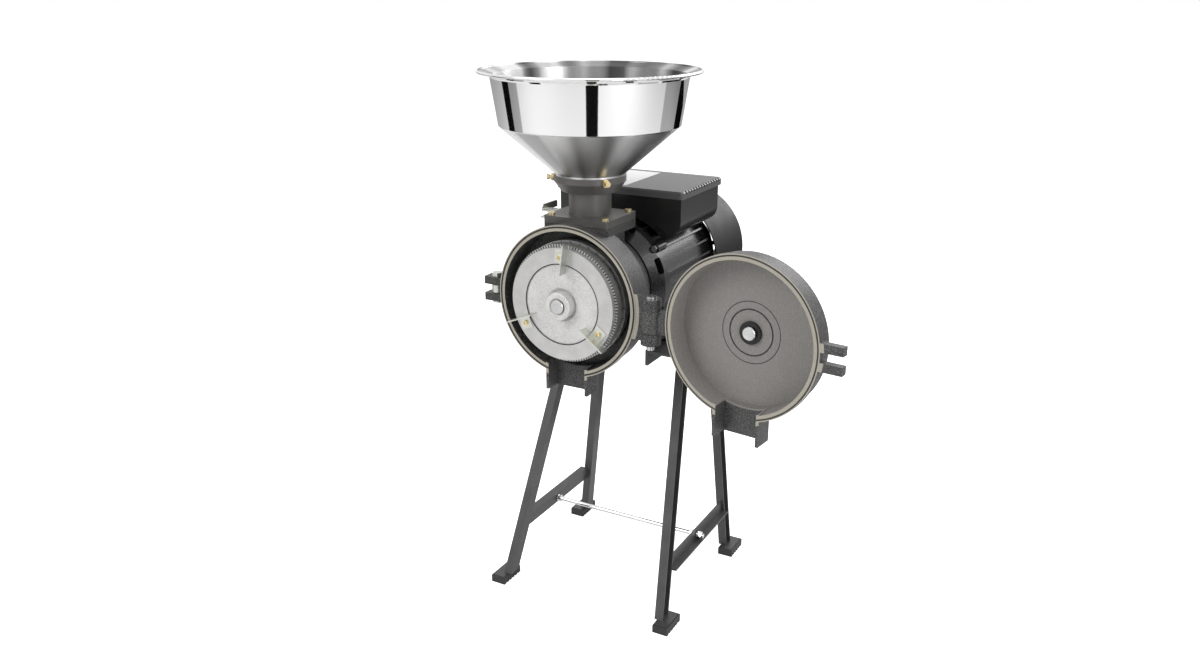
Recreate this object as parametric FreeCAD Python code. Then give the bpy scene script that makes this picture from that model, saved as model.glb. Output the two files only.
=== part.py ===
import FreeCAD, Part
import math
import os

# Electric disc mill on a four-legged stand, in millimetres.
# X runs across the mill, Y runs back along the shaft, Z is up.
# Everything is drawn about the shaft axis and lifted to the floor when it is written.

V = FreeCAD.Vector
X_AXIS = V(1, 0, 0)
Y_AXIS = V(0, 1, 0)
Z_AXIS = V(0, 0, 1)

# Fits and clearances
SEAT_GAP = 0.05
RUN_GAP = 0.05
SLIDE_GAP = 0.3
BODY_GAP = 0.4
THREAD_GAP = 0.1

# Overall
SHAFT_HEIGHT = 461.5
CHAMBER_OUTER_R = 97.0
FRAME_R = 78.0

# Screws: shank, head and head height
M5_R = 2.5
M5_HEAD_R = 4.5
M5_HEAD = 3.0
M4_R = 2.0
M4_HEAD_R = 4.0
M4_HEAD = 2.4
RECESS_WIDTH = 0.9
RECESS_DEPTH = 1.2

# Milling chamber
CHAMBER_WALL = 6.0
RIM_Y = -65.0
RIM_R = CHAMBER_OUTER_R + 3.0
RIM_BAND = 7.5
RIM_LENGTH = 7.0
CHAMBER_BACK_Y = -22.0
CHAMBER_BACK = 8.0
BELL_FRONT_R = CHAMBER_OUTER_R - 5.0
BELL_REAR_R = FRAME_R - 6.0
BELL_WALL = 6.0
BELL_END_Y = 32.0
RIM_GROOVE_R = RIM_R - 2.6
RIM_GROOVE = 1.2
SEAL_BORE_R = 21.5
DISC_BOSS_R = 8.0
DISC_BOSS_ANGLES = (30, 150, 270)

# Feed barrel and inlet duct of the chamber casting
BARREL_R = 30.0
BARREL_WALL = 6.0
INLET_BORE_R = 24.0
DUCT_HALF_X = 34.0
DUCT_HALF_Y = 31.0
PAD_HALF_X = 47.0
PAD_HALF_Y = 39.7
PAD_TOP_Z = CHAMBER_OUTER_R - 1.4
PAD_THICK = 12.0
PAD_CORNER_R = 4.0
PAD_SCREW_INSET = 8.0
PAD_SCREW_DEPTH = 20.0

# Outlet chute, half on the chamber and half on the cover
CHUTE_HALF = 27.0
CHUTE_WALL = 4.0
CHUTE_TOP_Z = 17.0 - CHAMBER_OUTER_R
CHUTE_END_Z = -RIM_R - 23.0
CHUTE_DEPTH = 25.0
COVER_CHUTE_END_Z = CHUTE_END_Z - 5.0

# Hinge
HINGE_X = RIM_R + 23.6
HINGE_Y = -70.5
HINGE_PIN_R = 5.0
HINGE_PIN_HEAD_R = 7.0
KNUCKLE_R = 12.5
COVER_KNUCKLE_R = 11.2
KNUCKLE_TOP_Z = 25.4
KNUCKLE_SPLIT_TOP_Z = 11.2
KNUCKLE_SPLIT_LOW_Z = -18.0
KNUCKLE_LOW_Z = -32.7
HINGE_PIN_END_Z = -40.0
HINGE_WEB_Y = 9.0
OPEN_ANGLE = 172.5

# Latch: swing bolt with wing nut, held between two pairs of lugs
LATCH_Z = -0.8
LATCH_X = -RIM_R - 16.0
LATCH_PIVOT_Y = -46.0
LUG_GAP = 12.0
LUG_THICK = 10.5
LUG_HALF_Y = 9.0
CHAMBER_LUG_END_X = LATCH_X - 15.0
COVER_LUG_END_X = LATCH_X - 11.0
COVER_LUG_DEPTH = 10.0
LATCH_PIN_R = 4.0
LATCH_PIN_HEAD_R = 7.0
EYE_R = 8.0
EYE_HEIGHT = 10.0
LATCH_BOLT_R = 4.0
LATCH_BOLT_LENGTH = 62.0
LATCH_WASHER_R = 10.0
LATCH_WASHER_THICK = 2.0
LATCH_TIGHT = 0.4
NUT_TRAVEL = 5.0
WING_HUB_R = 7.5
WING_HUB_LENGTH = 9.0
WING_SPAN_R = 17.0
WING_THICK = 3.5

# Cover
COVER_DEPTH = 30.0
COVER_PLATE = 7.0
COVER_GROOVE_R = 28.1
COVER_BOSS_R = 30.0
COVER_BOSS_LENGTH = 22.0
SLEEVE_R = 14.0
SLEEVE_PROUD = 3.0
SLEEVE_TAIL = 4.0

# Pressure screw
PIN_R = 8.5
PIN_CLEAR = 0.7
PRESS_SCREW_R = 9.0
PRESS_SCREW_LENGTH = 64.0
LOCK_NUT_AF = 30.0
LOCK_NUT_THICK = 8.0
WHEEL_R = 42.0
WHEEL_RING_R = 6.0
WHEEL_HUB_R = 15.0
WHEEL_HUB_LENGTH = 18.0
WHEEL_SPOKES = 3
WHEEL_SPOKE_R = 4.5
PRESS_TRAVEL = 6.0

# Grinding discs
DISC_BORE_R = 31.0
STATIC_DISC_R = CHAMBER_OUTER_R - 19.0
DISC_SCREW_R = STATIC_DISC_R - 13.0
DISC_SINK_R = 4.8
DISC_SINK = 5.0
DISC_SCREW_LENGTH = 19.0
STATIC_FACE_Y = -50.0
STATIC_THICK = 10.0
TOOTH_R = STATIC_DISC_R - 1.0
TOOTH_FACE_Y = -56.5
TOOTH_STEP_Y = -68.0
RING_R = TOOTH_R - 3.5
RING_FACE_Y = -75.0
RING_BORE_R = RING_R - 20.5
TOOTH_COUNT = 36
TOOTH_DEPTH = 1.6
TOOTH_WIDTH = 2.4
CARRIER_FACE_Y = -74.0
CARRIER_BACK_Y = -64.0
HUB_R = 17.9
HUB_FACE_Y = -86.0
HUB_BACK_Y = -53.0
HUB_CHAMFER = 2.4
SPRING_POCKET_R = 14.0
SPRING_POCKET_DEPTH = 12.0
BUTTON_R = 9.0
BUTTON_PROUD = 1.3
BUTTON_LENGTH = 7.3
BUTTON_RELIEF = 0.5
DOG_OUT_R = 20.4
DOG_HALF = 4.0
DOG_REACH = 14.0
DOG_SLOT_DEPTH = 12.3

# Paddles on the rotating disc
PADDLE_COUNT = 3
PADDLE_FIRST_ANGLE = 82.0
PADDLE_OUT_R = TOOTH_R + 5.0
PADDLE_IN_R = PADDLE_OUT_R - 40.0
PADDLE_HEIGHT = 14.0
PADDLE_FOOT = 17.0
PADDLE_FOOT_LENGTH = 16.0
PADDLE_THICK = 1.6
PADDLE_SCREW_R = PADDLE_OUT_R - 21.0
PADDLE_SCREW_HEAD_R = 3.2

# Shaft, feed screw and spring
SHAFT_R = 9.0
SHAFT_FRONT_Y = HUB_FACE_Y - BUTTON_PROUD + BUTTON_LENGTH + PRESS_TRAVEL + BUTTON_RELIEF
BEARING_SHAFT_R = 12.5
ROTOR_SHAFT_R = 15.0
SHAFT_REAR_Y = 292.0
SCREW_CORE_R = 14.0
SCREW_R = 28.0
SCREW_FRONT_Y = -44.0
SCREW_REAR_Y = 20.0
SCREW_PITCH = 32.0
SCREW_FLIGHT = 5.0
SPRING_R = 11.5
SPRING_WIRE_R = 1.2
SPRING_TURNS = 4
SPRING_END_Y = HUB_BACK_Y - SPRING_POCKET_DEPTH + PRESS_TRAVEL + BUTTON_RELIEF
DRIVE_PIN_R = 2.5
DRIVE_PIN_Y = 4.0
SPRING_SEAT_GAP = 0.5

# Motor
FRAME_WALL = 8.0
FIN_R = FRAME_R + 8.0
FIN_COUNT = 30
FIN_THICK = 2.6
FRAME_FRONT_Y = 60.0
FRAME_REAR_Y = 216.0
SHIELD_R = FRAME_R + 10.0
SHIELD_FRONT_R = FRAME_R - 4.0
SHIELD_WALL = 7.0
SHIELD_WINDOWS = 8
SHIELD_RIM = 9.0
BEARING_R = 26.0
BEARING_WIDTH = 15.0
BEARING_RACE = 4.0
BEARING_HOUSING_WALL = 7.0
FRONT_BEARING_Y = 38.0
REAR_BEARING_Y = 222.0
REAR_SHIELD_THICK = 10.0
STATOR_LENGTH = 90.0
STATOR_BORE_R = FRAME_R - 34.0
STATOR_SLOTS = 24
ROTOR_GAP = 0.5
END_RING = 10.0
WINDING_R = FRAME_R - 16.0
WINDING_BORE_R = STATOR_BORE_R + 3.0
WINDING_LENGTH = 22.0
FAN_Y = 252.0
FAN_THICK = 4.0
FAN_HUB_R = 16.0
FAN_BLADE_LENGTH = 22.0
FAN_R = FRAME_R
FAN_BLADES = 7
COWL_R = FRAME_R + 14.0
COWL_FRONT_Y = 212.0
COWL_REAR_Y = 322.0
COWL_WALL = 1.6
COWL_ROUND = 8.0
GRILLE_RINGS = 4
GRILLE_FIRST_R = 22.0
GRILLE_SLOT = 7.0
GRILLE_PITCH = (COWL_R - GRILLE_FIRST_R - 10.0) / GRILLE_RINGS
GRILLE_BAR = 6.0
COWL_SCREW_ANGLES = (45, 135, 225, 315)
COWL_PAD = 5.0
COWL_NOTCH_X = 60.0
EAR_R = 7.0
EAR_LENGTH = 14.0
EAR_ANGLES = (52, 142, 232, 322)
SHIELD_BOLT_LENGTH = 24.0
SHIELD_BOLT_AF = 8.0
SHIELD_BOLT_HEAD = 3.5
SHIELD_SINK_R = 5.2
SHIELD_EAR = 10.0

# Motor feet
FOOT_BOTTOM_Z = -FRAME_R - 12.0
FOOT_THICK = 9.0
FOOT_HALF_X = FRAME_R + 10.0
FOOT_IN_X = FRAME_R - 28.0
FOOT_RIB_X = (FRAME_R - 44.0, FRAME_R - 16.0)
FOOT_RIB_TOP_Z = 28.0 - FRAME_R
FOOT_FRONT_Y = 96.0
FOOT_REAR_Y = 212.0
FOOT_HOLE_X = FOOT_HALF_X - 18.0
FOOT_HOLE_Y = (110.0, 198.0)
FOOT_BOLT_R = 4.0
FOOT_BOLT_PAST = 10.0
FOOT_BOLT_AF = 13.0
FOOT_BOLT_HEAD = 5.5
FOOT_NUT = 6.5
FOOT_WASHER_R = 8.0
FOOT_WASHER = 1.6

# Capacitor box
BOX_HALF_X = 92.0
BOX_FRONT_Y = 80.0
BOX_REAR_Y = 206.0
BOX_LOW_Z = SHIELD_R - 25.0
BOX_TOP_Z = SHIELD_R + 28.0
BOX_WALL = 3.0
SADDLE_HALF_X = 30.0
SADDLE_WIDTH = 12.0
BOX_CORNER_R = 22.0
BOX_SADDLE_R = SHIELD_R + 0.5
LID_OVERHANG = 4.0
LID_THICK = 10.0
LID_CORNER_R = 5.0
LID_RIB_COUNT = 14
LABEL_X = (22.0 - BOX_HALF_X, 6.0)
LABEL_THICK = 0.8
LABEL_INSET = 12.0
CAPACITOR_R = 17.0
CAPACITOR_LENGTH = 72.0
CAPACITOR_X = BOX_HALF_X - 25.0
CAPACITOR_Z = BOX_TOP_Z - 23.0
SWITCH_Y = 101.0
SWITCH_Z = BOX_TOP_Z - 19.0
SWITCH_LENGTH = 27.0
SWITCH_HEIGHT = 21.0
BEZEL = 2.5
ROCKER_HALF_Y = 10.5
ROCKER_ROOM = 1.8
ROCKER_HALF_Z = 7.5
ROCKER_TILT = 7.0
GLAND_Y = 178.0
GLAND_R = 9.0
GLAND_BORE_R = 3.6

# Hopper and throat
PLATE_THICK = 8.5
NECK_R = 27.4
NECK_LENGTH = 37.4
NECK_TOP_Z = PAD_TOP_Z + NECK_LENGTH
COLLAR_R = 46.5
COLLAR_LOW_Z = NECK_TOP_Z + 13.0
COLLAR_TOP_Z = COLLAR_LOW_Z + 9.0
SPOUT_R = 40.0
SPOUT_LOW_Z = COLLAR_LOW_Z + 2.0
SHEET = 1.2
HOPPER_LOW_R = COLLAR_R - 0.9
HOPPER_LOW_Z = COLLAR_TOP_Z + 2.0
HOPPER_CONE = 60.7
HOPPER_WALL = 59.3
HOPPER_BRIM = 16.3
HOPPER_KNEE_R = 115.0
HOPPER_KNEE_Z = HOPPER_LOW_Z + HOPPER_CONE
HOPPER_TOP_R = HOPPER_KNEE_R + 9.0
HOPPER_TOP_Z = HOPPER_KNEE_Z + HOPPER_WALL
HOPPER_RIM_R = HOPPER_TOP_R + HOPPER_BRIM
HOPPER_RIM_Z = HOPPER_TOP_Z + 6.2
HOPPER_ROLL_R = 2.0
CLAMP_FIRST_ANGLE = -37.0
CLAMP_COUNT = 3
CLAMP_Z = COLLAR_LOW_Z + 4.0
CLAMP_REACH = 15.3
CLAMP_NUT_AF = 9.0
CLAMP_NUT = 3.2
CLAMP_HEAD_R = 3.4
CLAMP_HEAD = 3.0
CLAMP_HEAD_OUT = 6.0

# Slide gate
GATE_THICK = 2.0
GATE_HALF_Y = 27.0
GATE_IN_X = 29.0
GATE_OUT_X = -79.0
GATE_PULL = 20.0
GATE_LIFT = 1.2
GATE_TAB_HEIGHT = 7.0
GATE_TAB_Y = (8.0, 46.0)

# Stand
FRAME_LEAN = math.radians(5.47)
FRAME_TOP_X = FOOT_HALF_X - 3.8
RAIL_TOP_Z = FOOT_BOTTOM_Z
RAIL_FRONT_Y = 49.0
RAIL_BACK_Y = 232.0
RAIL_OUT_X = FOOT_HALF_X + 9.0
RAIL_FLANGE = 39.0
RAIL_DROP = 22.0
RAIL_THICK = 4.0
LEG_WEB = 18.0
LEG_FLANGE = 12.5
LEG_THICK = 2.2
FRONT_LEG_TOP_Y = 107.0
FRONT_LEG_LOW_Y = -27.0
REAR_LEG_TOP_Y = 206.0
REAR_LEG_LOW_Y = 208.0
BRACE_Z = -384.5
BRACE_WEB = 18.0
BRACE_OUT = 6.5
PAD_IN = 3.5
PAD_WIDTH = 22.5
PAD_LENGTH = 43.0
PAD_FORWARD = 2.0
PAD_HEIGHT = 11.0
PAD_FLOOR = 6.0
PAD_LIP = 1.6
PAD_FIT = 0.5
PAD_GROOVES = 5
PAD_GROOVE = 2.8
PLATE_PROUD = 0.5
LEG_END_Z = -SHAFT_HEIGHT + PAD_HEIGHT + PLATE_PROUD
ROD_R = 3.2
ROD_Y = 103.0
ROD_Z = BRACE_Z
ROD_PAST = 3.0
ROD_NUT_AF = 9.5
ROD_NUT_THICK = 5.0
ROD_WASHER_R = 5.4
ROD_WASHER_LIFT = 1.0
ROD_WASHER_THICK = 1.6


def ybar(radius, y0, y1, x=0.0, z=0.0):
    """Cylinder along Y."""
    return Part.makeCylinder(radius, y1 - y0, V(x, y0, z), Y_AXIS)


def zbar(radius, z0, z1, x=0.0, y=0.0):
    """Cylinder along Z."""
    return Part.makeCylinder(radius, z1 - z0, V(x, y, z0), Z_AXIS)


def block(x0, x1, y0, y1, z0, z1):
    """Box between two corners."""
    return Part.makeBox(x1 - x0, y1 - y0, z1 - z0, V(x0, y0, z0))


def polygon_face(points):
    """Flat face inside a closed chain of points."""
    return Part.Face(Part.makePolygon(points + [points[0]]))


def turned_y(profile):
    """Solid of revolution about Y from (radius, y) pairs."""
    return polygon_face([V(r, y, 0) for r, y in profile]).revolve(V(0, 0, 0), Y_AXIS, 360)


def turned_z(profile):
    """Solid of revolution about Z from (radius, z) pairs."""
    return polygon_face([V(r, 0, z) for r, z in profile]).revolve(V(0, 0, 0), Z_AXIS, 360)


def tube_y(outer, inner, y0, y1, x=0.0, z=0.0):
    """Ring along Y."""
    return ybar(outer, y0, y1, x, z).cut(ybar(inner, y0 - 1, y1 + 1, x, z))


def fuse(shapes):
    """Union of several solids, with leftover seams removed."""
    return shapes[0].multiFuse(shapes[1:]).removeSplitter()


def turned(shape, degrees, centre=V(0, 0, 0), axis=Y_AXIS):
    """Copy of a shape, turned about an axis."""
    copy = shape.copy()
    copy.rotate(centre, axis, degrees)
    return copy


def ring_of(shape, count, axis=Y_AXIS, centre=V(0, 0, 0)):
    """Equal copies of a shape around an axis."""
    return [turned(shape, 360.0 * i / count, centre, axis) for i in range(count)]


def hexagon(across_flats, length, base, direction):
    """Hexagonal prism that starts at base."""
    radius = across_flats / math.sqrt(3)
    corners = [V(radius * math.cos(math.radians(a)), radius * math.sin(math.radians(a)), 0)
               for a in range(0, 360, 60)]
    prism = polygon_face(corners).extrude(V(0, 0, length))
    prism.Placement = FreeCAD.Placement(base, FreeCAD.Rotation(Z_AXIS, direction))
    return prism


def along(direction, radius, length, base):
    """Cylinder from base along a direction."""
    return Part.makeCylinder(radius, length, base, direction)


def recessed(screw, top, direction, radius, turn=0.0):
    """Screw with a cross recess cut into the head whose face centre is top."""
    arms = []
    for angle in (0, 90):
        arm = Part.makeBox(2 * radius, RECESS_WIDTH, RECESS_DEPTH, V(-radius, -RECESS_WIDTH / 2, -RECESS_DEPTH))
        arm.rotate(V(0, 0, 0), Z_AXIS, angle + turn)
        arm.Placement = FreeCAD.Placement(top, FreeCAD.Rotation(Z_AXIS, direction)).multiply(arm.Placement)
        arms.append(arm)
    return screw.cut(arms[0].fuse(arms[1]))


def mirrored_x(shape):
    """Mirror image across the plane x = 0."""
    return shape.mirror(V(0, 0, 0), X_AXIS)


OUTWARD = V(math.cos(FRAME_LEAN), 0, math.sin(FRAME_LEAN))
PARTS = {}


def keep(name, *shapes):
    """Store one node; several solids make a group."""
    solids = [s for shape in shapes for s in shape.Solids]
    PARTS[name] = solids[0] if len(solids) == 1 else Part.makeCompound(solids)


def chute_shell(y0, y1, wall_y, end_z):
    """Three-sided spout: two side walls and the wall at wall_y, open below and on the other side."""
    outer = CHUTE_HALF + CHUTE_WALL
    shell = block(-outer, outer, y0, y1, end_z, CHUTE_TOP_Z)
    hollow_y0 = y0 - 1 if wall_y == y1 else y0 + CHUTE_WALL
    hollow_y1 = y1 - CHUTE_WALL if wall_y == y1 else y1 + 1
    hollow = block(-CHUTE_HALF, CHUTE_HALF, hollow_y0, hollow_y1, end_z - 1, CHUTE_TOP_Z + 1)
    return shell.cut(hollow), hollow


def lug_pair(end_x, y0, y1):
    """Upper and lower lug, from inside the wall out to end_x."""
    low = LATCH_Z + LUG_GAP / 2
    inner_x = -CHAMBER_OUTER_R + CHAMBER_WALL / 2
    upper = block(end_x, inner_x, y0, y1, low, low + LUG_THICK)
    lower = upper.copy()
    lower.translate(V(0, 0, -LUG_GAP - LUG_THICK))
    return [upper, lower]


def pad_screw_places():
    """Centres of the four throat screws."""
    x = PAD_HALF_X - PAD_SCREW_INSET
    y = PAD_HALF_Y - PAD_SCREW_INSET
    return [(-x, -y), (-x, y), (x, -y), (x, y)]


def make_chamber():
    """Cast milling chamber: dish, bell, feed barrel, inlet duct, chute, hinge and lugs."""
    dish_inner = CHAMBER_OUTER_R - CHAMBER_WALL
    floor_y = CHAMBER_BACK_Y - CHAMBER_BACK
    rim_inner = RIM_R - RIM_BAND
    dish = turned_y([
        (0, CHAMBER_BACK_Y), (CHAMBER_OUTER_R, CHAMBER_BACK_Y), (CHAMBER_OUTER_R, RIM_Y + RIM_LENGTH),
        (RIM_R, RIM_Y + RIM_LENGTH), (RIM_R, RIM_Y), (rim_inner, RIM_Y), (dish_inner, floor_y), (0, floor_y)])
    dish = dish.cut(block(-PAD_HALF_X, PAD_HALF_X, -PAD_HALF_Y - SEAT_GAP, 0, PAD_TOP_Z, RIM_R + 1))
    bell = turned_y([
        (BELL_FRONT_R - BELL_WALL, CHAMBER_BACK_Y), (BELL_FRONT_R, CHAMBER_BACK_Y),
        (BELL_REAR_R, BELL_END_Y), (BELL_REAR_R - BELL_WALL, BELL_END_Y)])
    barrel = ybar(BARREL_R + BARREL_WALL, CHAMBER_BACK_Y, BELL_END_Y)
    end_wall = ybar(BELL_REAR_R - BELL_WALL / 2, BELL_END_Y - CHAMBER_BACK, BELL_END_Y)
    duct = block(-DUCT_HALF_X, DUCT_HALF_X, -DUCT_HALF_Y, DUCT_HALF_Y, 0, PAD_TOP_Z)
    pad = block(-PAD_HALF_X, PAD_HALF_X, -PAD_HALF_Y, PAD_HALF_Y, PAD_TOP_Z - PAD_THICK, PAD_TOP_Z)
    pad = pad.makeFillet(PAD_CORNER_R, [e for e in pad.Edges if abs(e.tangentAt(0).z) > 0.9])
    chute, chute_hollow = chute_shell(RIM_Y, RIM_Y + CHUTE_DEPTH, RIM_Y + CHUTE_DEPTH, CHUTE_END_Z)

    knuckles = [
        zbar(KNUCKLE_R, KNUCKLE_SPLIT_TOP_Z, KNUCKLE_TOP_Z, HINGE_X, HINGE_Y),
        zbar(KNUCKLE_R, KNUCKLE_LOW_Z, KNUCKLE_SPLIT_LOW_Z, HINGE_X, HINGE_Y)]
    web_y = RIM_Y + SLIDE_GAP
    web = block(CHAMBER_OUTER_R - CHAMBER_WALL / 2, HINGE_X, web_y, web_y + HINGE_WEB_Y,
                KNUCKLE_LOW_Z, KNUCKLE_TOP_Z)
    swing_room = zbar(COVER_KNUCKLE_R + 1.0, KNUCKLE_SPLIT_LOW_Z, KNUCKLE_SPLIT_TOP_Z, HINGE_X, HINGE_Y)
    lugs = lug_pair(CHAMBER_LUG_END_X, LATCH_PIVOT_Y - LUG_HALF_Y, LATCH_PIVOT_Y + LUG_HALF_Y)

    body = fuse([dish, bell, barrel, end_wall, duct, pad, chute, web] + knuckles + lugs)
    body = body.cut(ybar(BARREL_R, floor_y - 1, BELL_END_Y - CHAMBER_BACK))
    body = body.cut(ybar(SEAL_BORE_R, BELL_END_Y - CHAMBER_BACK - 1, BELL_END_Y + 1))
    body = body.cut(zbar(INLET_BORE_R, 0, PAD_TOP_Z + 1))
    body = body.cut(ybar(dish_inner, RIM_Y - 1, floor_y))
    body = body.cut(chute_hollow)
    body = body.cut(swing_room)
    body = body.cut(zbar(HINGE_PIN_R + RUN_GAP, KNUCKLE_LOW_Z - 1, KNUCKLE_TOP_Z + 1, HINGE_X, HINGE_Y))
    body = body.cut(zbar(LATCH_PIN_R + RUN_GAP, LATCH_Z - 2 * LUG_GAP, LATCH_Z + 2 * LUG_GAP,
                         LATCH_X, LATCH_PIVOT_Y))
    groove = tube_y(RIM_GROOVE_R, RIM_GROOVE_R - RIM_GROOVE, RIM_Y - 1, RIM_Y + RIM_GROOVE)
    body = body.cut(groove)
    back_y = STATIC_FACE_Y + STATIC_THICK
    boss = ybar(DISC_BOSS_R, back_y, floor_y + 1, DISC_SCREW_R, 0)
    hole = ybar(M5_R + THREAD_GAP, back_y - 1, STATIC_FACE_Y + DISC_SCREW_LENGTH + 4, DISC_SCREW_R, 0)
    for angle in DISC_BOSS_ANGLES:
        body = body.fuse(turned(boss, angle)).cut(turned(hole, angle))
    for x, y in pad_screw_places():
        body = body.cut(zbar(M5_R + THREAD_GAP, PAD_TOP_Z - PAD_SCREW_DEPTH, PAD_TOP_Z + 1, x, y))
    keep("chamber_casting", body.removeSplitter())


def make_chamber_fittings():
    """Shaft seal, the fixed disc and its screws, throat screws, hinge pin and latch pivot."""
    seal = tube_y(SEAL_BORE_R - SEAT_GAP, BEARING_SHAFT_R + RUN_GAP,
                  BELL_END_Y - CHAMBER_BACK, BELL_END_Y - 0.5)
    keep("shaft_seal", seal)

    back_y = STATIC_FACE_Y + STATIC_THICK
    disc = tube_y(STATIC_DISC_R, DISC_BORE_R, STATIC_FACE_Y, back_y)
    groove = block(DISC_BORE_R + 8, STATIC_DISC_R + 1, STATIC_FACE_Y - 1, STATIC_FACE_Y + TOOTH_DEPTH,
                   -TOOTH_WIDTH / 2, TOOTH_WIDTH / 2)
    disc = disc.cut(Part.makeCompound(ring_of(groove, TOOTH_COUNT)))
    hole = ybar(M5_R + THREAD_GAP, STATIC_FACE_Y - 1, back_y + 1, DISC_SCREW_R, 0)
    sink = ybar(DISC_SINK_R, STATIC_FACE_Y - 1, STATIC_FACE_Y + DISC_SINK, DISC_SCREW_R, 0)
    shank = ybar(M5_R, STATIC_FACE_Y + DISC_SINK - M5_HEAD, STATIC_FACE_Y + DISC_SCREW_LENGTH, DISC_SCREW_R, 0)
    head = ybar(M5_HEAD_R, STATIC_FACE_Y + DISC_SINK - M5_HEAD, STATIC_FACE_Y + DISC_SINK, DISC_SCREW_R, 0)
    screw = shank.fuse(head)
    for angle in DISC_BOSS_ANGLES:
        disc = disc.cut(turned(hole.fuse(sink), angle))
    screws = [turned(screw, angle) for angle in DISC_BOSS_ANGLES]
    keep("fixed_grinding_disc", disc)
    keep("fixed_disc_screws", *screws)

    pin_head = zbar(HINGE_PIN_HEAD_R, KNUCKLE_TOP_Z, KNUCKLE_TOP_Z + 3, HINGE_X, HINGE_Y)
    keep("hinge_pin", zbar(HINGE_PIN_R, HINGE_PIN_END_Z, KNUCKLE_TOP_Z + 1, HINGE_X, HINGE_Y).fuse(pin_head))

    lug_top = LATCH_Z + LUG_GAP / 2 + LUG_THICK
    lug_low = LATCH_Z - LUG_GAP / 2 - LUG_THICK
    latch_pin = zbar(LATCH_PIN_R, lug_low - 1, lug_top + 1, LATCH_X, LATCH_PIVOT_Y)
    head = hexagon(2 * LATCH_PIN_HEAD_R - 1, 5, V(LATCH_X, LATCH_PIVOT_Y, lug_top), Z_AXIS)
    rivet = zbar(LATCH_PIN_HEAD_R, lug_low - 3, lug_low, LATCH_X, LATCH_PIVOT_Y)
    keep("latch_pivot_pin", fuse([latch_pin, head, rivet]))


def make_throat():
    """Throat adapter with its screws, and the slide gate in its base."""
    plate_top = PAD_TOP_Z + PLATE_THICK
    neck = turned_z([
        (INLET_BORE_R, PAD_TOP_Z), (NECK_R, PAD_TOP_Z), (NECK_R, NECK_TOP_Z), (NECK_R + 10, NECK_TOP_Z + 1.5),
        (COLLAR_R - 1, COLLAR_LOW_Z), (COLLAR_R, COLLAR_LOW_Z + 1), (COLLAR_R, COLLAR_TOP_Z),
        (SPOUT_R + SLIDE_GAP, COLLAR_TOP_Z), (SPOUT_R + SLIDE_GAP, COLLAR_LOW_Z + 1),
        (INLET_BORE_R, NECK_TOP_Z)])
    plate = block(-PAD_HALF_X, PAD_HALF_X, -PAD_HALF_Y, PAD_HALF_Y, PAD_TOP_Z, plate_top)
    plate = plate.makeFillet(PAD_CORNER_R, [e for e in plate.Edges if abs(e.tangentAt(0).z) > 0.9])
    plate = plate.cut(zbar(INLET_BORE_R, PAD_TOP_Z - 1, plate_top + 1))
    adapter = neck.fuse(plate).removeSplitter()
    gate_low = PAD_TOP_Z + GATE_LIFT
    slot = block(-PAD_HALF_X - 1, GATE_IN_X + SLIDE_GAP, -GATE_HALF_Y - SLIDE_GAP, GATE_HALF_Y + SLIDE_GAP,
                 gate_low - SLIDE_GAP, gate_low + GATE_THICK + SLIDE_GAP)
    adapter = adapter.cut(slot)
    screws = []
    for x, y in pad_screw_places():
        adapter = adapter.cut(zbar(M5_R + THREAD_GAP, PAD_TOP_Z - 1, plate_top + 1, x, y))
        head = zbar(M5_HEAD_R, plate_top, plate_top + M5_HEAD, x, y)
        screw = zbar(M5_R, PAD_TOP_Z - PAD_THICK, plate_top + 1, x, y).fuse(head)
        screws.append(recessed(screw, V(x, y, plate_top + M5_HEAD), Z_AXIS, M5_R, x))
    keep("throat_screws", *screws)

    clamps = []
    for i in range(CLAMP_COUNT):
        angle = math.radians(CLAMP_FIRST_ANGLE + 360.0 * i / CLAMP_COUNT)
        out = V(math.cos(angle), math.sin(angle), 0)
        level = V(0, 0, CLAMP_Z)
        adapter = adapter.cut(along(out, M5_R + THREAD_GAP, COLLAR_R, out * NECK_R + level))
        seat = out * (COLLAR_R + SEAT_GAP) + level
        shank = along(out, M5_R, CLAMP_REACH, out * SPOUT_R + level)
        nut = hexagon(CLAMP_NUT_AF, CLAMP_NUT, seat, out)
        head = along(out, CLAMP_HEAD_R, CLAMP_HEAD, seat + out * CLAMP_HEAD_OUT)
        clamps.append(fuse([shank, nut, head]))
    keep("throat_adapter", adapter)
    keep("hopper_clamp_screws", *clamps)

    gate = block(GATE_OUT_X + GATE_PULL, GATE_IN_X, -GATE_HALF_Y, GATE_HALF_Y, gate_low, gate_low + GATE_THICK)
    pull = block(GATE_OUT_X, GATE_OUT_X + GATE_PULL + 1, GATE_TAB_Y[0], GATE_HALF_Y,
                 gate_low, gate_low + GATE_THICK)
    tab = block(GATE_OUT_X, GATE_OUT_X + GATE_THICK, GATE_TAB_Y[0], GATE_TAB_Y[1],
                gate_low, gate_low + GATE_TAB_HEIGHT + GATE_THICK)
    top_edges = [e for e in tab.Edges if abs(e.tangentAt(0).x) > 0.9 and e.CenterOfMass.z > gate_low + 5]
    tab = tab.makeFillet(GATE_TAB_HEIGHT * 0.45, top_edges)
    keep("slide_gate", fuse([gate, pull, tab]))


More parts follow.
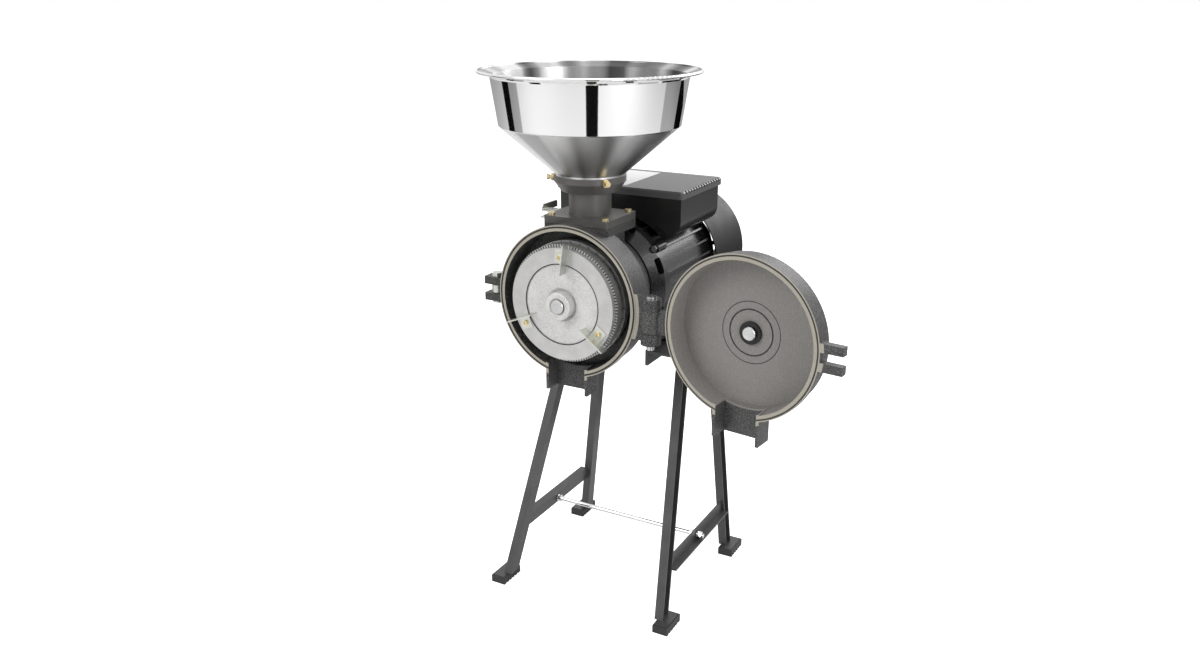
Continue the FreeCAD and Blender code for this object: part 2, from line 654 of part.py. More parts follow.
def make_hopper():
    """Spun sheet hopper with a rolled rim, a short spout and an outer bead above the collar."""
    outer = [
        (HOPPER_RIM_R - HOPPER_ROLL_R, HOPPER_RIM_Z), (HOPPER_TOP_R + 2, HOPPER_TOP_Z + 1),
        (HOPPER_TOP_R, HOPPER_TOP_Z - 1), (HOPPER_KNEE_R, HOPPER_KNEE_Z), (HOPPER_LOW_R, HOPPER_LOW_Z),
        (HOPPER_LOW_R, COLLAR_TOP_Z), (SPOUT_R, COLLAR_TOP_Z), (SPOUT_R, SPOUT_LOW_Z)]
    inner = [
        (SPOUT_R - SHEET, SPOUT_LOW_Z), (SPOUT_R - SHEET, HOPPER_LOW_Z - 1),
        (HOPPER_LOW_R - SHEET, HOPPER_LOW_Z + 1.0), (HOPPER_KNEE_R - SHEET, HOPPER_KNEE_Z + 0.6),
        (HOPPER_TOP_R - SHEET, HOPPER_TOP_Z + 1.5), (HOPPER_RIM_R - HOPPER_ROLL_R, HOPPER_RIM_Z + SHEET)]
    shell = turned_z(outer + inner)
    roll = Part.makeTorus(HOPPER_RIM_R - HOPPER_ROLL_R, HOPPER_ROLL_R, V(0, 0, HOPPER_RIM_Z))
    keep("hopper", fuse([shell, roll]))


def make_rotor():
    """Shaft with feed screw, rotor, key pin, spring and fan: all that turns and stays in place."""
    bearing_front = FRONT_BEARING_Y + BEARING_WIDTH
    shaft = fuse([
        ybar(SHAFT_R, SHAFT_FRONT_Y, SCREW_REAR_Y + 1),
        ybar(BEARING_SHAFT_R, SCREW_REAR_Y, bearing_front + 1),
        ybar(ROTOR_SHAFT_R, bearing_front, REAR_BEARING_Y),
        ybar(BEARING_SHAFT_R, REAR_BEARING_Y - 1, REAR_BEARING_Y + BEARING_WIDTH + 4),
        ybar(SHAFT_R, REAR_BEARING_Y + BEARING_WIDTH, SHAFT_REAR_Y)])
    pin_hole = Part.makeCylinder(DRIVE_PIN_R, 40, V(-20, DRIVE_PIN_Y, 0), X_AXIS)
    keep("motor_shaft", shaft.cut(pin_hole))
    pin_half = SCREW_CORE_R - 0.5
    keep("drive_pin", Part.makeCylinder(DRIVE_PIN_R, 2 * pin_half, V(-pin_half, DRIVE_PIN_Y, 0), X_AXIS))

    core = tube_y(SCREW_CORE_R, SHAFT_R + SEAT_GAP, SCREW_FRONT_Y, SCREW_REAR_Y)
    helix_length = SCREW_REAR_Y - SCREW_FRONT_Y - 2 * SCREW_FLIGHT
    helix = Part.makeHelix(SCREW_PITCH, helix_length, SCREW_R)
    root = SCREW_CORE_R - 2.0
    flight_face = polygon_face([V(root, 0, 0), V(SCREW_R, 0, 0), V(SCREW_R, 0, SCREW_FLIGHT * 0.6),
                                V(root, 0, SCREW_FLIGHT)])
    sweep = Part.Wire(helix).makePipeShell([flight_face.OuterWire], True, True)
    sweep.Placement = FreeCAD.Placement(V(0, SCREW_REAR_Y - SCREW_FLIGHT, 0), FreeCAD.Rotation(X_AXIS, 90))
    screw = core.fuse(sweep).common(ybar(SCREW_R, SCREW_FRONT_Y, SCREW_REAR_Y))
    for side in (-1, 1):
        near = side * (SCREW_CORE_R - 1.0)
        far = side * DOG_OUT_R
        dog = block(min(near, far), max(near, far), SCREW_FRONT_Y - DOG_REACH, SCREW_FRONT_Y + 2,
                    -DOG_HALF, DOG_HALF)
        screw = screw.fuse(dog)
    screw = screw.cut(Part.makeCylinder(DRIVE_PIN_R + RUN_GAP, 80, V(-40, DRIVE_PIN_Y, 0), X_AXIS))
    keep("feed_screw", screw)

    length = SCREW_FRONT_Y - SPRING_SEAT_GAP - SPRING_END_Y
    spring_helix = Part.makeHelix(length / SPRING_TURNS, length - 2 * SPRING_WIRE_R, SPRING_R)
    near = SPRING_R - SPRING_WIRE_R
    far = SPRING_R + SPRING_WIRE_R
    section = polygon_face([V(near, 0, -SPRING_WIRE_R), V(far, 0, -SPRING_WIRE_R), V(far, 0, SPRING_WIRE_R),
                            V(near, 0, SPRING_WIRE_R)]).OuterWire
    coil = Part.Wire(spring_helix).makePipeShell([section], True, True)
    coil_start = V(0, SCREW_FRONT_Y - SPRING_SEAT_GAP - SPRING_WIRE_R, 0)
    coil.Placement = FreeCAD.Placement(coil_start, FreeCAD.Rotation(X_AXIS, 90))
    keep("disc_spring", coil)

    stator_mid = (FRAME_FRONT_Y + FRAME_REAR_Y) / 2
    half = STATOR_LENGTH / 2
    rotor_r = STATOR_BORE_R - ROTOR_GAP
    rotor = tube_y(rotor_r, ROTOR_SHAFT_R + SEAT_GAP, stator_mid - half, stator_mid + half)
    rings = [tube_y(rotor_r - 3, rotor_r - 3 - END_RING, y, y + END_RING)
             for y in (stator_mid - half - END_RING, stator_mid + half)]
    keep("rotor_core", fuse([rotor] + rings))

    hub = tube_y(FAN_HUB_R, SHAFT_R + SEAT_GAP, FAN_Y - 6, FAN_Y + FAN_BLADE_LENGTH - 5)
    plate = tube_y(FAN_R - 8, SHAFT_R + SEAT_GAP, FAN_Y - FAN_THICK, FAN_Y)
    blade = block(FAN_HUB_R - 1, FAN_R, FAN_Y - FAN_THICK, FAN_Y + FAN_BLADE_LENGTH, -1.5, 1.5)
    keep("cooling_fan", fuse([hub, plate] + ring_of(blade, FAN_BLADES)))


def make_moving_disc():
    """Carrier, toothed ring, paddles and their screws: these turn with the shaft and slide on it."""
    hub = turned_y([
        (SHAFT_R + RUN_GAP, HUB_BACK_Y - SPRING_POCKET_DEPTH), (SHAFT_R + RUN_GAP, HUB_FACE_Y + HUB_CHAMFER),
        (SHAFT_R + RUN_GAP + HUB_CHAMFER, HUB_FACE_Y), (HUB_R - 1, HUB_FACE_Y), (HUB_R, HUB_FACE_Y + 1),
        (HUB_R, CARRIER_FACE_Y + 3), (HUB_R + 4, CARRIER_FACE_Y), (RING_BORE_R - SEAT_GAP, CARRIER_FACE_Y),
        (RING_BORE_R - SEAT_GAP, CARRIER_BACK_Y), (HUB_R + 3, CARRIER_BACK_Y), (HUB_R + 3, HUB_BACK_Y),
        (SPRING_POCKET_R, HUB_BACK_Y), (SPRING_POCKET_R, HUB_BACK_Y - SPRING_POCKET_DEPTH)])
    slot = block(-HUB_R - 9, HUB_R + 9, HUB_BACK_Y - DOG_SLOT_DEPTH, HUB_BACK_Y + 1,
                 -DOG_HALF - SLIDE_GAP / 2, DOG_HALF + SLIDE_GAP / 2)
    keep("disc_carrier", hub.cut(slot))
    button_y = HUB_FACE_Y - BUTTON_PROUD
    keep("thrust_button", turned_y([
        (0, button_y), (BUTTON_R - 0.8, button_y), (BUTTON_R, button_y + 0.8),
        (BUTTON_R, button_y + BUTTON_LENGTH), (0, button_y + BUTTON_LENGTH)]))

    ring = turned_y([
        (RING_BORE_R, RING_FACE_Y), (RING_R, RING_FACE_Y), (RING_R, TOOTH_STEP_Y), (TOOTH_R, TOOTH_STEP_Y),
        (TOOTH_R, TOOTH_FACE_Y), (DISC_BORE_R + 6, TOOTH_FACE_Y), (DISC_BORE_R + 6, CARRIER_BACK_Y),
        (RING_BORE_R, CARRIER_BACK_Y)])
    groove = block(DISC_BORE_R + 12, TOOTH_R + 1, TOOTH_FACE_Y - TOOTH_DEPTH, TOOTH_FACE_Y + 1,
                   -TOOTH_WIDTH / 2, TOOTH_WIDTH / 2)
    keep("moving_grinding_disc", ring.cut(Part.makeCompound(ring_of(groove, TOOTH_COUNT))))

    paddles = []
    screws = []
    front = RING_FACE_Y
    for i in range(PADDLE_COUNT):
        angle = -(PADDLE_FIRST_ANGLE + 360.0 * i / PADDLE_COUNT)
        blade = block(PADDLE_IN_R, PADDLE_OUT_R, front - PADDLE_HEIGHT, front, 0, PADDLE_THICK)
        foot_in = PADDLE_SCREW_R - PADDLE_FOOT_LENGTH / 2
        foot = block(foot_in, foot_in + PADDLE_FOOT_LENGTH, front - PADDLE_THICK, front, 0, PADDLE_FOOT)
        paddle = fuse([blade, foot])
        hole_z = PADDLE_FOOT * 0.55
        paddle = paddle.cut(ybar(M4_R + THREAD_GAP, front - PADDLE_THICK - 1, front + 1, PADDLE_SCREW_R, hole_z))
        face = front - PADDLE_THICK - M4_HEAD
        shank = ybar(M4_R, front - PADDLE_THICK - 1, front, PADDLE_SCREW_R, hole_z)
        head = ybar(PADDLE_SCREW_HEAD_R, face, front - PADDLE_THICK, PADDLE_SCREW_R, hole_z)
        screw = recessed(fuse([shank, head]), V(PADDLE_SCREW_R, face, hole_z), V(0, -1, 0), M4_R, 30)
        paddles.append(turned(paddle, angle))
        screws.append(turned(screw, angle))
    keep("paddles", *paddles)
    keep("paddle_screws", *screws)


def make_cover():
    """Cast cover in its closed place, with knuckle, lugs and half of the chute."""
    inner_r = RIM_R - RIM_BAND
    floor_y = RIM_Y - COVER_DEPTH
    back_y = floor_y - COVER_PLATE
    dish = turned_y([
        (0, back_y), (CHAMBER_OUTER_R - 6, back_y), (CHAMBER_OUTER_R, back_y + 6),
        (CHAMBER_OUTER_R, RIM_Y - RIM_LENGTH), (RIM_R, RIM_Y - RIM_LENGTH), (RIM_R, RIM_Y - BODY_GAP),
        (inner_r, RIM_Y - BODY_GAP), (inner_r - 1, floor_y), (0, floor_y)])
    boss = ybar(COVER_BOSS_R, back_y - COVER_BOSS_LENGTH, back_y + 1)
    rib = block(COVER_BOSS_R - 4, CHAMBER_OUTER_R - 10, back_y - 6, back_y + 1, -3.0, 3.0)
    ribs = ring_of(turned(rib, 30), 6)
    chute, hollow = chute_shell(RIM_Y - COVER_DEPTH + 3, RIM_Y - BODY_GAP, RIM_Y - COVER_DEPTH + 3,
                                COVER_CHUTE_END_Z)
    knuckle = zbar(COVER_KNUCKLE_R, KNUCKLE_SPLIT_LOW_Z + SLIDE_GAP, KNUCKLE_SPLIT_TOP_Z - SLIDE_GAP,
                   HINGE_X, HINGE_Y)
    arm = block(CHAMBER_OUTER_R - CHAMBER_WALL / 2, HINGE_X, HINGE_Y - 8.0, HINGE_Y + 2.0,
                KNUCKLE_SPLIT_LOW_Z + SLIDE_GAP, KNUCKLE_SPLIT_TOP_Z - SLIDE_GAP)
    lugs = lug_pair(COVER_LUG_END_X, RIM_Y - BODY_GAP - COVER_LUG_DEPTH, RIM_Y - BODY_GAP)
    body = fuse([dish, boss, chute, knuckle, arm] + ribs + lugs)
    body = body.cut(hollow)
    body = body.cut(ybar(inner_r - 1, floor_y, RIM_Y))
    body = body.cut(zbar(HINGE_PIN_R + RUN_GAP, KNUCKLE_LOW_Z, KNUCKLE_TOP_Z, HINGE_X, HINGE_Y))
    body = body.cut(tube_y(COVER_GROOVE_R + 1, COVER_GROOVE_R - 1, floor_y - 1.2, floor_y + 1))
    body = body.cut(ybar(SLEEVE_R + SEAT_GAP, back_y - COVER_BOSS_LENGTH - 1, floor_y + 1))
    keep("cover_casting", body)

    nose_y = floor_y + SLEEVE_PROUD
    tail_y = back_y - COVER_BOSS_LENGTH - SLEEVE_TAIL
    sleeve = ybar(SLEEVE_R, tail_y, nose_y).cut(ybar(PRESS_SCREW_R + RUN_GAP, tail_y - 1, nose_y + 1))
    keep("press_sleeve", sleeve)

    tip_y = HUB_FACE_Y - BUTTON_PROUD - PIN_CLEAR
    screw_front = tip_y - 16.0
    pin = turned_y([(0, screw_front), (PIN_R, screw_front), (PIN_R, tip_y - 1), (PIN_R - 1, tip_y), (0, tip_y)])
    keep("thrust_pin", pin)
    screw_back = screw_front - PRESS_SCREW_LENGTH
    screw = ybar(PRESS_SCREW_R, screw_back, screw_front)
    nut_y = tail_y - PRESS_TRAVEL - 1.0
    wheel_y = screw_back + WHEEL_HUB_LENGTH / 2
    keep("press_screw", screw)
    lock_nut = hexagon(LOCK_NUT_AF, LOCK_NUT_THICK, V(0, nut_y, 0), V(0, -1, 0))
    keep("lock_nut", lock_nut.cut(ybar(PRESS_SCREW_R, nut_y - 20, nut_y + 1)))
    corners = [math.radians(22.5 + 45.0 * i) for i in range(8)]
    ring = turned_y([(WHEEL_R + WHEEL_RING_R * math.cos(a), wheel_y + WHEEL_RING_R * math.sin(a))
                     for a in corners])
    hub = ybar(WHEEL_HUB_R, screw_back - 3, screw_back + WHEEL_HUB_LENGTH)
    spoke = Part.makeCylinder(WHEEL_SPOKE_R, WHEEL_R, V(0, wheel_y, 0), Z_AXIS)
    wheel = fuse([ring, hub] + ring_of(spoke, WHEEL_SPOKES))
    keep("handwheel", wheel.cut(ybar(PRESS_SCREW_R, screw_back, screw_front)))


def open_cover():
    """Swing the cover and what it carries to the open place of the rest pose."""
    centre = V(HINGE_X, HINGE_Y, 0)
    for name in ("cover_casting", "press_sleeve", "thrust_pin", "press_screw", "lock_nut", "handwheel"):
        PARTS[name] = turned(PARTS[name], OPEN_ANGLE, centre, Z_AXIS)


def make_latch():
    """Swing bolt, washer and wing nut, swung back along the chamber."""
    low = LATCH_Z - EYE_HEIGHT / 2
    eye = zbar(EYE_R, low, low + EYE_HEIGHT, LATCH_X, LATCH_PIVOT_Y)
    shank = ybar(LATCH_BOLT_R, LATCH_PIVOT_Y, LATCH_PIVOT_Y + LATCH_BOLT_LENGTH, LATCH_X, LATCH_Z)
    bolt = eye.fuse(shank).cut(zbar(LATCH_PIN_R + RUN_GAP, low - 1, low + EYE_HEIGHT + 1, LATCH_X, LATCH_PIVOT_Y))
    keep("swing_bolt", bolt)

    tight = LATCH_PIVOT_Y - (RIM_Y - BODY_GAP - COVER_LUG_DEPTH) + LATCH_TIGHT
    washer_y = LATCH_PIVOT_Y + tight + NUT_TRAVEL
    bore = LATCH_BOLT_R + RUN_GAP
    nut_y = washer_y + LATCH_WASHER_THICK
    keep("latch_washer", tube_y(LATCH_WASHER_R, bore, washer_y, nut_y, LATCH_X, LATCH_Z))
    hub = ybar(WING_HUB_R, nut_y, nut_y + WING_HUB_LENGTH, LATCH_X, LATCH_Z)
    wing = block(LATCH_X - WING_SPAN_R, LATCH_X + WING_SPAN_R, nut_y + 1, nut_y + WING_HUB_LENGTH + 5,
                 LATCH_Z - WING_THICK / 2, LATCH_Z + WING_THICK / 2)
    wing = wing.makeFillet(4.0, [e for e in wing.Edges if abs(e.tangentAt(0).z) > 0.9])
    gap = block(LATCH_X - WING_HUB_R + 1, LATCH_X + WING_HUB_R - 1, nut_y + WING_HUB_LENGTH,
                nut_y + WING_HUB_LENGTH + 9, LATCH_Z - 5, LATCH_Z + 5)
    nut = hub.fuse(wing.cut(gap)).cut(ybar(bore, nut_y - 1, nut_y + WING_HUB_LENGTH + 9, LATCH_X, LATCH_Z))
    keep("wing_nut", nut)


def make_bearing(name, y0):
    """Ball bearing as one closed ring with grooves in its faces."""
    outer = tube_y(BEARING_R, BEARING_R - BEARING_RACE, y0, y0 + BEARING_WIDTH)
    inner = tube_y(BEARING_SHAFT_R + BEARING_RACE, BEARING_SHAFT_R + RUN_GAP, y0, y0 + BEARING_WIDTH)
    shield = tube_y(BEARING_R - BEARING_RACE, BEARING_SHAFT_R + BEARING_RACE, y0 + 1, y0 + BEARING_WIDTH - 1)
    keep(name, fuse([outer, inner, shield]))


def make_motor():
    """Motor shell, end shields, bearings, stator, cowl and the screws that hold them."""
    housing_r = BEARING_R + BEARING_HOUSING_WALL
    rim_in = SHIELD_R - SHIELD_RIM
    front = turned_y([
        (BEARING_R - 6, BELL_END_Y), (SHIELD_FRONT_R, BELL_END_Y), (SHIELD_R, FRAME_FRONT_Y - 14),
        (SHIELD_R, FRAME_FRONT_Y), (rim_in, FRAME_FRONT_Y), (SHIELD_FRONT_R - SHIELD_WALL, BELL_END_Y + 7),
        (housing_r, BELL_END_Y + 7), (housing_r, FRAME_FRONT_Y - 4), (BEARING_R - 6, FRAME_FRONT_Y - 4)])
    front = front.cut(ybar(BEARING_R + SEAT_GAP, FRONT_BEARING_Y, FRAME_FRONT_Y))
    window = block(-11, 11, BELL_END_Y + 9, FRAME_FRONT_Y - 11, rim_in - 16, SHIELD_R + 5)
    window = window.makeFillet(3.0, [e for e in window.Edges if abs(e.tangentAt(0).z) > 0.9])
    front = front.cut(Part.makeCompound(ring_of(turned(window, 22.5), SHIELD_WINDOWS)))
    ear = ybar(EAR_R, FRAME_FRONT_Y - SHIELD_EAR, FRAME_FRONT_Y, 0, SHIELD_R - 1)
    front = fuse([front] + [turned(ear, angle) for angle in EAR_ANGLES])
    hole = ybar(M5_R + THREAD_GAP, FRAME_FRONT_Y - SHIELD_EAR - 1, FRAME_FRONT_Y + 1, 0, SHIELD_R)
    sink = ybar(SHIELD_SINK_R, BELL_END_Y, FRAME_FRONT_Y - SHIELD_EAR, 0, SHIELD_R)
    for angle in EAR_ANGLES:
        front = front.cut(turned(hole.fuse(sink), angle))
    keep("front_end_shield", front)

    shell = tube_y(FRAME_R, FRAME_R - FRAME_WALL, FRAME_FRONT_Y, FRAME_REAR_Y)
    fins = []
    for i in range(FIN_COUNT):
        angle = 360.0 * (i + 0.5) / FIN_COUNT
        fin = block(-FIN_THICK / 2, FIN_THICK / 2, FRAME_FRONT_Y + 1, FRAME_REAR_Y - 6, FRAME_R - 2, FIN_R)
        fins.append(turned(fin, angle))
    feet = []
    for side in (-1, 1):
        x0 = min(side * FOOT_IN_X, side * FOOT_HALF_X)
        x1 = max(side * FOOT_IN_X, side * FOOT_HALF_X)
        plate = block(x0, x1, FOOT_FRONT_Y, FOOT_REAR_Y, FOOT_BOTTOM_Z, FOOT_BOTTOM_Z + FOOT_THICK)
        feet.append(plate)
        rib_x = sorted(side * x for x in FOOT_RIB_X)
        feet.append(block(rib_x[0], rib_x[1], FOOT_FRONT_Y, FOOT_REAR_Y, FOOT_BOTTOM_Z, FOOT_RIB_TOP_Z))
    ear = ybar(EAR_R, FRAME_FRONT_Y, FRAME_FRONT_Y + EAR_LENGTH, 0, SHIELD_R - 1)
    ears = [turned(ear, angle) for angle in EAR_ANGLES]
    saddle = ybar(BOX_SADDLE_R, FRAME_FRONT_Y, FRAME_REAR_Y)
    seat_pads = [block(-SADDLE_HALF_X, SADDLE_HALF_X, y, y + SADDLE_WIDTH, FRAME_R - 6, BOX_SADDLE_R).common(saddle)
                 for y in (BOX_FRONT_Y + SADDLE_WIDTH, BOX_REAR_Y - 2 * SADDLE_WIDTH)]
    frame = fuse([shell] + fins + feet + ears + seat_pads)
    frame = frame.cut(ybar(FRAME_R - FRAME_WALL, FRAME_FRONT_Y - 1, FRAME_REAR_Y + 1))
    hole = ybar(M5_R + THREAD_GAP, FRAME_FRONT_Y - 1, FRAME_FRONT_Y + EAR_LENGTH + 1, 0, SHIELD_R)
    for angle in EAR_ANGLES:
        frame = frame.cut(turned(hole, angle))
    for x in (-FOOT_HOLE_X, FOOT_HOLE_X):
        for y in FOOT_HOLE_Y:
            frame = frame.cut(zbar(FOOT_BOLT_R + SLIDE_GAP, FOOT_BOTTOM_Z - 1, FOOT_BOTTOM_Z + FOOT_THICK + 1,
                                   x, y))
    keep("motor_frame", frame)
    head_y = FRAME_FRONT_Y - SHIELD_EAR
    shank = ybar(M5_R, head_y - 1, head_y - 1 + SHIELD_BOLT_LENGTH, 0, SHIELD_R)
    head = hexagon(SHIELD_BOLT_AF, SHIELD_BOLT_HEAD, V(0, head_y, SHIELD_R), V(0, -1, 0))
    bolt = fuse([shank, head])
    keep("end_shield_bolts", *[turned(bolt, angle) for angle in EAR_ANGLES])

    rear_face = FRAME_REAR_Y + REAR_SHIELD_THICK
    rear = turned_y([
        (ROTOR_SHAFT_R + 1, FRAME_REAR_Y), (FRAME_R, FRAME_REAR_Y), (FRAME_R, rear_face),
        (housing_r, rear_face), (housing_r, REAR_BEARING_Y + BEARING_WIDTH + 3),
        (ROTOR_SHAFT_R + 1, REAR_BEARING_Y + BEARING_WIDTH + 3)])
    rear = rear.cut(ybar(BEARING_R + SEAT_GAP, REAR_BEARING_Y, REAR_BEARING_Y + BEARING_WIDTH))
    keep("rear_end_shield", rear)
    make_bearing("front_bearing", FRONT_BEARING_Y)
    make_bearing("rear_bearing", REAR_BEARING_Y)

    mid = (FRAME_FRONT_Y + FRAME_REAR_Y) / 2
    half = STATOR_LENGTH / 2
    core = tube_y(FRAME_R - FRAME_WALL - SEAT_GAP, STATOR_BORE_R, mid - half, mid + half)
    slot = block(-1.5, 1.5, mid - half - 1, mid + half + 1, STATOR_BORE_R - 1, STATOR_BORE_R + 12)
    keep("stator_core", core.cut(Part.makeCompound(ring_of(slot, STATOR_SLOTS))))
    ends = [tube_y(WINDING_R, WINDING_BORE_R, mid - half - WINDING_LENGTH, mid - half),
            tube_y(WINDING_R, WINDING_BORE_R, mid + half, mid + half + WINDING_LENGTH)]
    keep("stator_windings", *ends)

    inner_r = COWL_R - COWL_WALL
    cowl = turned_y([
        (0, COWL_REAR_Y), (COWL_R - COWL_ROUND, COWL_REAR_Y), (COWL_R, COWL_REAR_Y - COWL_ROUND),
        (COWL_R, COWL_FRONT_Y), (inner_r, COWL_FRONT_Y), (inner_r, COWL_REAR_Y - COWL_ROUND),
        (inner_r - COWL_ROUND + 1, COWL_REAR_Y - COWL_WALL), (0, COWL_REAR_Y - COWL_WALL)])
    slot_y = (COWL_REAR_Y - COWL_ROUND - 1, COWL_REAR_Y + 1)
    bar = block(-GRILLE_BAR / 2, GRILLE_BAR / 2, slot_y[0], slot_y[1], -COWL_R, COWL_R)
    bars = bar.fuse(turned(bar, 90))
    for i in range(GRILLE_RINGS):
        r = GRILLE_FIRST_R + GRILLE_PITCH * i
        cowl = cowl.cut(tube_y(r + GRILLE_SLOT, r, slot_y[0], slot_y[1]).cut(bars))
    cowl = cowl.cut(block(-COWL_NOTCH_X, COWL_NOTCH_X, COWL_FRONT_Y - 1, FRAME_REAR_Y + 1, COWL_NOTCH_X, COWL_R + 1))
    screw_y = FRAME_REAR_Y + REAR_SHIELD_THICK / 2
    seat = ybar(FRAME_R + SEAT_GAP, FRAME_REAR_Y, rear_face)
    pad = block(-COWL_PAD, COWL_PAD, FRAME_REAR_Y + 1, rear_face - 1, FRAME_R - 0.5, inner_r + 0.5).cut(seat)
    hole = along(Z_AXIS, M4_R + THREAD_GAP, COWL_R, V(0, screw_y, FRAME_R / 2))
    shank = along(Z_AXIS, M4_R, COWL_R - FRAME_R + 1, V(0, screw_y, FRAME_R)).cut(seat)
    screw = shank.fuse(along(Z_AXIS, M4_HEAD_R, M4_HEAD, V(0, screw_y, COWL_R)))
    for angle in COWL_SCREW_ANGLES:
        cowl = cowl.fuse(turned(pad, angle)).cut(turned(hole, angle))
    cowl_screws = [turned(screw, angle) for angle in COWL_SCREW_ANGLES]
    keep("fan_cowl", cowl.removeSplitter())
    keep("cowl_screws", *cowl_screws)


def make_box():
    """Capacitor box on the motor: base, lid, bare plate, capacitors, terminals, switch and gland."""
    base = block(-BOX_HALF_X, BOX_HALF_X, BOX_FRONT_Y, BOX_REAR_Y, BOX_LOW_Z, BOX_TOP_Z)
    low_edges = [e for e in base.Edges if abs(e.tangentAt(0).y) > 0.9 and e.CenterOfMass.z < BOX_LOW_Z + 1]
    base = base.makeFillet(BOX_CORNER_R, low_edges)
    base = base.cut(ybar(BOX_SADDLE_R, BOX_FRONT_Y - 1, BOX_REAR_Y + 1))
    w = BOX_WALL
    room = block(-BOX_HALF_X + w, BOX_HALF_X - w, BOX_FRONT_Y + w, BOX_REAR_Y - w, BOX_LOW_Z + w, BOX_TOP_Z + 1)
    low_edges = [e for e in room.Edges if abs(e.tangentAt(0).y) > 0.9 and e.CenterOfMass.z < BOX_LOW_Z + w + 1]
    room = room.makeFillet(BOX_CORNER_R - w, low_edges)
    room = room.cut(ybar(BOX_SADDLE_R + w, BOX_FRONT_Y, BOX_REAR_Y))
    base = base.cut(room)
    half_l = SWITCH_LENGTH / 2
    half_h = SWITCH_HEIGHT / 2
    base = base.cut(block(-BOX_HALF_X - 1, -BOX_HALF_X + w + 1, SWITCH_Y - half_l, SWITCH_Y + half_l,
                          SWITCH_Z - half_h, SWITCH_Z + half_h))
    base = base.cut(Part.makeCylinder(GLAND_R - 2, 8, V(-BOX_HALF_X - 2, GLAND_Y, SWITCH_Z), X_AXIS))
    keep("capacitor_box", base)

    lid_x = BOX_HALF_X + LID_OVERHANG
    lid_y0 = BOX_FRONT_Y - LID_OVERHANG
    lid_y1 = BOX_REAR_Y + LID_OVERHANG
    lid = block(-lid_x, lid_x, lid_y0, lid_y1, BOX_TOP_Z, BOX_TOP_Z + LID_THICK)
    lid = lid.makeFillet(LID_CORNER_R, [e for e in lid.Edges if abs(e.tangentAt(0).z) > 0.9])
    lid = lid.makeChamfer(2.0, [e for e in lid.Edges if e.CenterOfMass.z > BOX_TOP_Z + LID_THICK - 0.1])
    lid = lid.cut(block(-lid_x + 7, lid_x - 7, lid_y0 + 7, lid_y1 - 7, BOX_TOP_Z - 1, BOX_TOP_Z + LID_THICK - 3))
    pitch = (lid_y1 - lid_y0 - 16) / LID_RIB_COUNT
    for i in range(LID_RIB_COUNT):
        y = lid_y0 + 8 + pitch * (i + 0.5)
        lid = lid.cut(block(lid_x - 3, lid_x + 1, y - pitch * 0.22, y + pitch * 0.22,
                            BOX_TOP_Z + LID_THICK - 4, BOX_TOP_Z + LID_THICK + 1))
    recess = block(LABEL_X[0], LABEL_X[1], lid_y0 + LABEL_INSET, lid_y1 - LABEL_INSET,
                   BOX_TOP_Z + LID_THICK - LABEL_THICK, BOX_TOP_Z + LID_THICK + 1)
    keep("capacitor_box_lid", lid.cut(recess))
    keep("bare_label_plate", block(LABEL_X[0] + SLIDE_GAP, LABEL_X[1] - SLIDE_GAP,
                                   lid_y0 + LABEL_INSET + SLIDE_GAP, lid_y1 - LABEL_INSET - SLIDE_GAP,
                                   BOX_TOP_Z + LID_THICK - LABEL_THICK, BOX_TOP_Z + LID_THICK))
    cap_y1 = BOX_REAR_Y - BOX_WALL - 3
    cap_y0 = cap_y1 - CAPACITOR_LENGTH
    keep("start_capacitor", ybar(CAPACITOR_R, cap_y0, cap_y1, -CAPACITOR_X, CAPACITOR_Z),
         ybar(3, cap_y0 - 5, cap_y0, -CAPACITOR_X, CAPACITOR_Z))
    keep("run_capacitor", ybar(CAPACITOR_R - 2, cap_y0, cap_y1, CAPACITOR_X, CAPACITOR_Z),
         ybar(3, cap_y0 - 5, cap_y0, CAPACITOR_X, CAPACITOR_Z))
    floor_z = BOX_SADDLE_R + BOX_WALL
    terminal = block(-26, 26, 120, 142, floor_z - 2, floor_z + 10)
    terminal = terminal.cut(ybar(floor_z, 119, 143))
    keep("terminal_block", terminal)

    x = -BOX_HALF_X
    plate = block(x - BEZEL, x, SWITCH_Y - half_l - 3, SWITCH_Y + half_l + 3, SWITCH_Z - half_h - 3,
                  SWITCH_Z + half_h + 3)
    tub = block(x, x + 13, SWITCH_Y - half_l + 0.2, SWITCH_Y + half_l - 0.2, SWITCH_Z - half_h + 0.2,
                SWITCH_Z + half_h - 0.2)
    switch = plate.fuse(tub)
    room_y = ROCKER_HALF_Y + ROCKER_ROOM
    room_z = ROCKER_HALF_Z + SLIDE_GAP
    switch = switch.cut(block(x - BEZEL - 1, x + 9, SWITCH_Y - room_y, SWITCH_Y + room_y,
                              SWITCH_Z - room_z, SWITCH_Z + room_z))
    axle = Part.makeCylinder(1.5, 2 * half_h - 2, V(x + 2.0, SWITCH_Y, SWITCH_Z - half_h + 1), Z_AXIS)
    keep("power_switch_body", switch.fuse(axle))
    slant = math.tan(math.radians(ROCKER_TILT))
    wide = ROCKER_HALF_Y
    face_x = x - BEZEL - 1.5
    profile = [V(x + 6, SWITCH_Y - 4, 0), V(x + 6, SWITCH_Y + 4, 0), V(x, SWITCH_Y + wide, 0),
               V(face_x - wide * slant, SWITCH_Y + wide, 0), V(face_x, SWITCH_Y, 0),
               V(face_x + wide * slant, SWITCH_Y - wide, 0), V(x, SWITCH_Y - wide, 0)]
    rocker = polygon_face(profile).extrude(V(0, 0, 2 * ROCKER_HALF_Z))
    rocker.translate(V(0, 0, SWITCH_Z - ROCKER_HALF_Z))
    keep("power_rocker", rocker.cut(zbar(1.5 + RUN_GAP, SWITCH_Z - 20, SWITCH_Z + 20, x + 2.0, SWITCH_Y)))

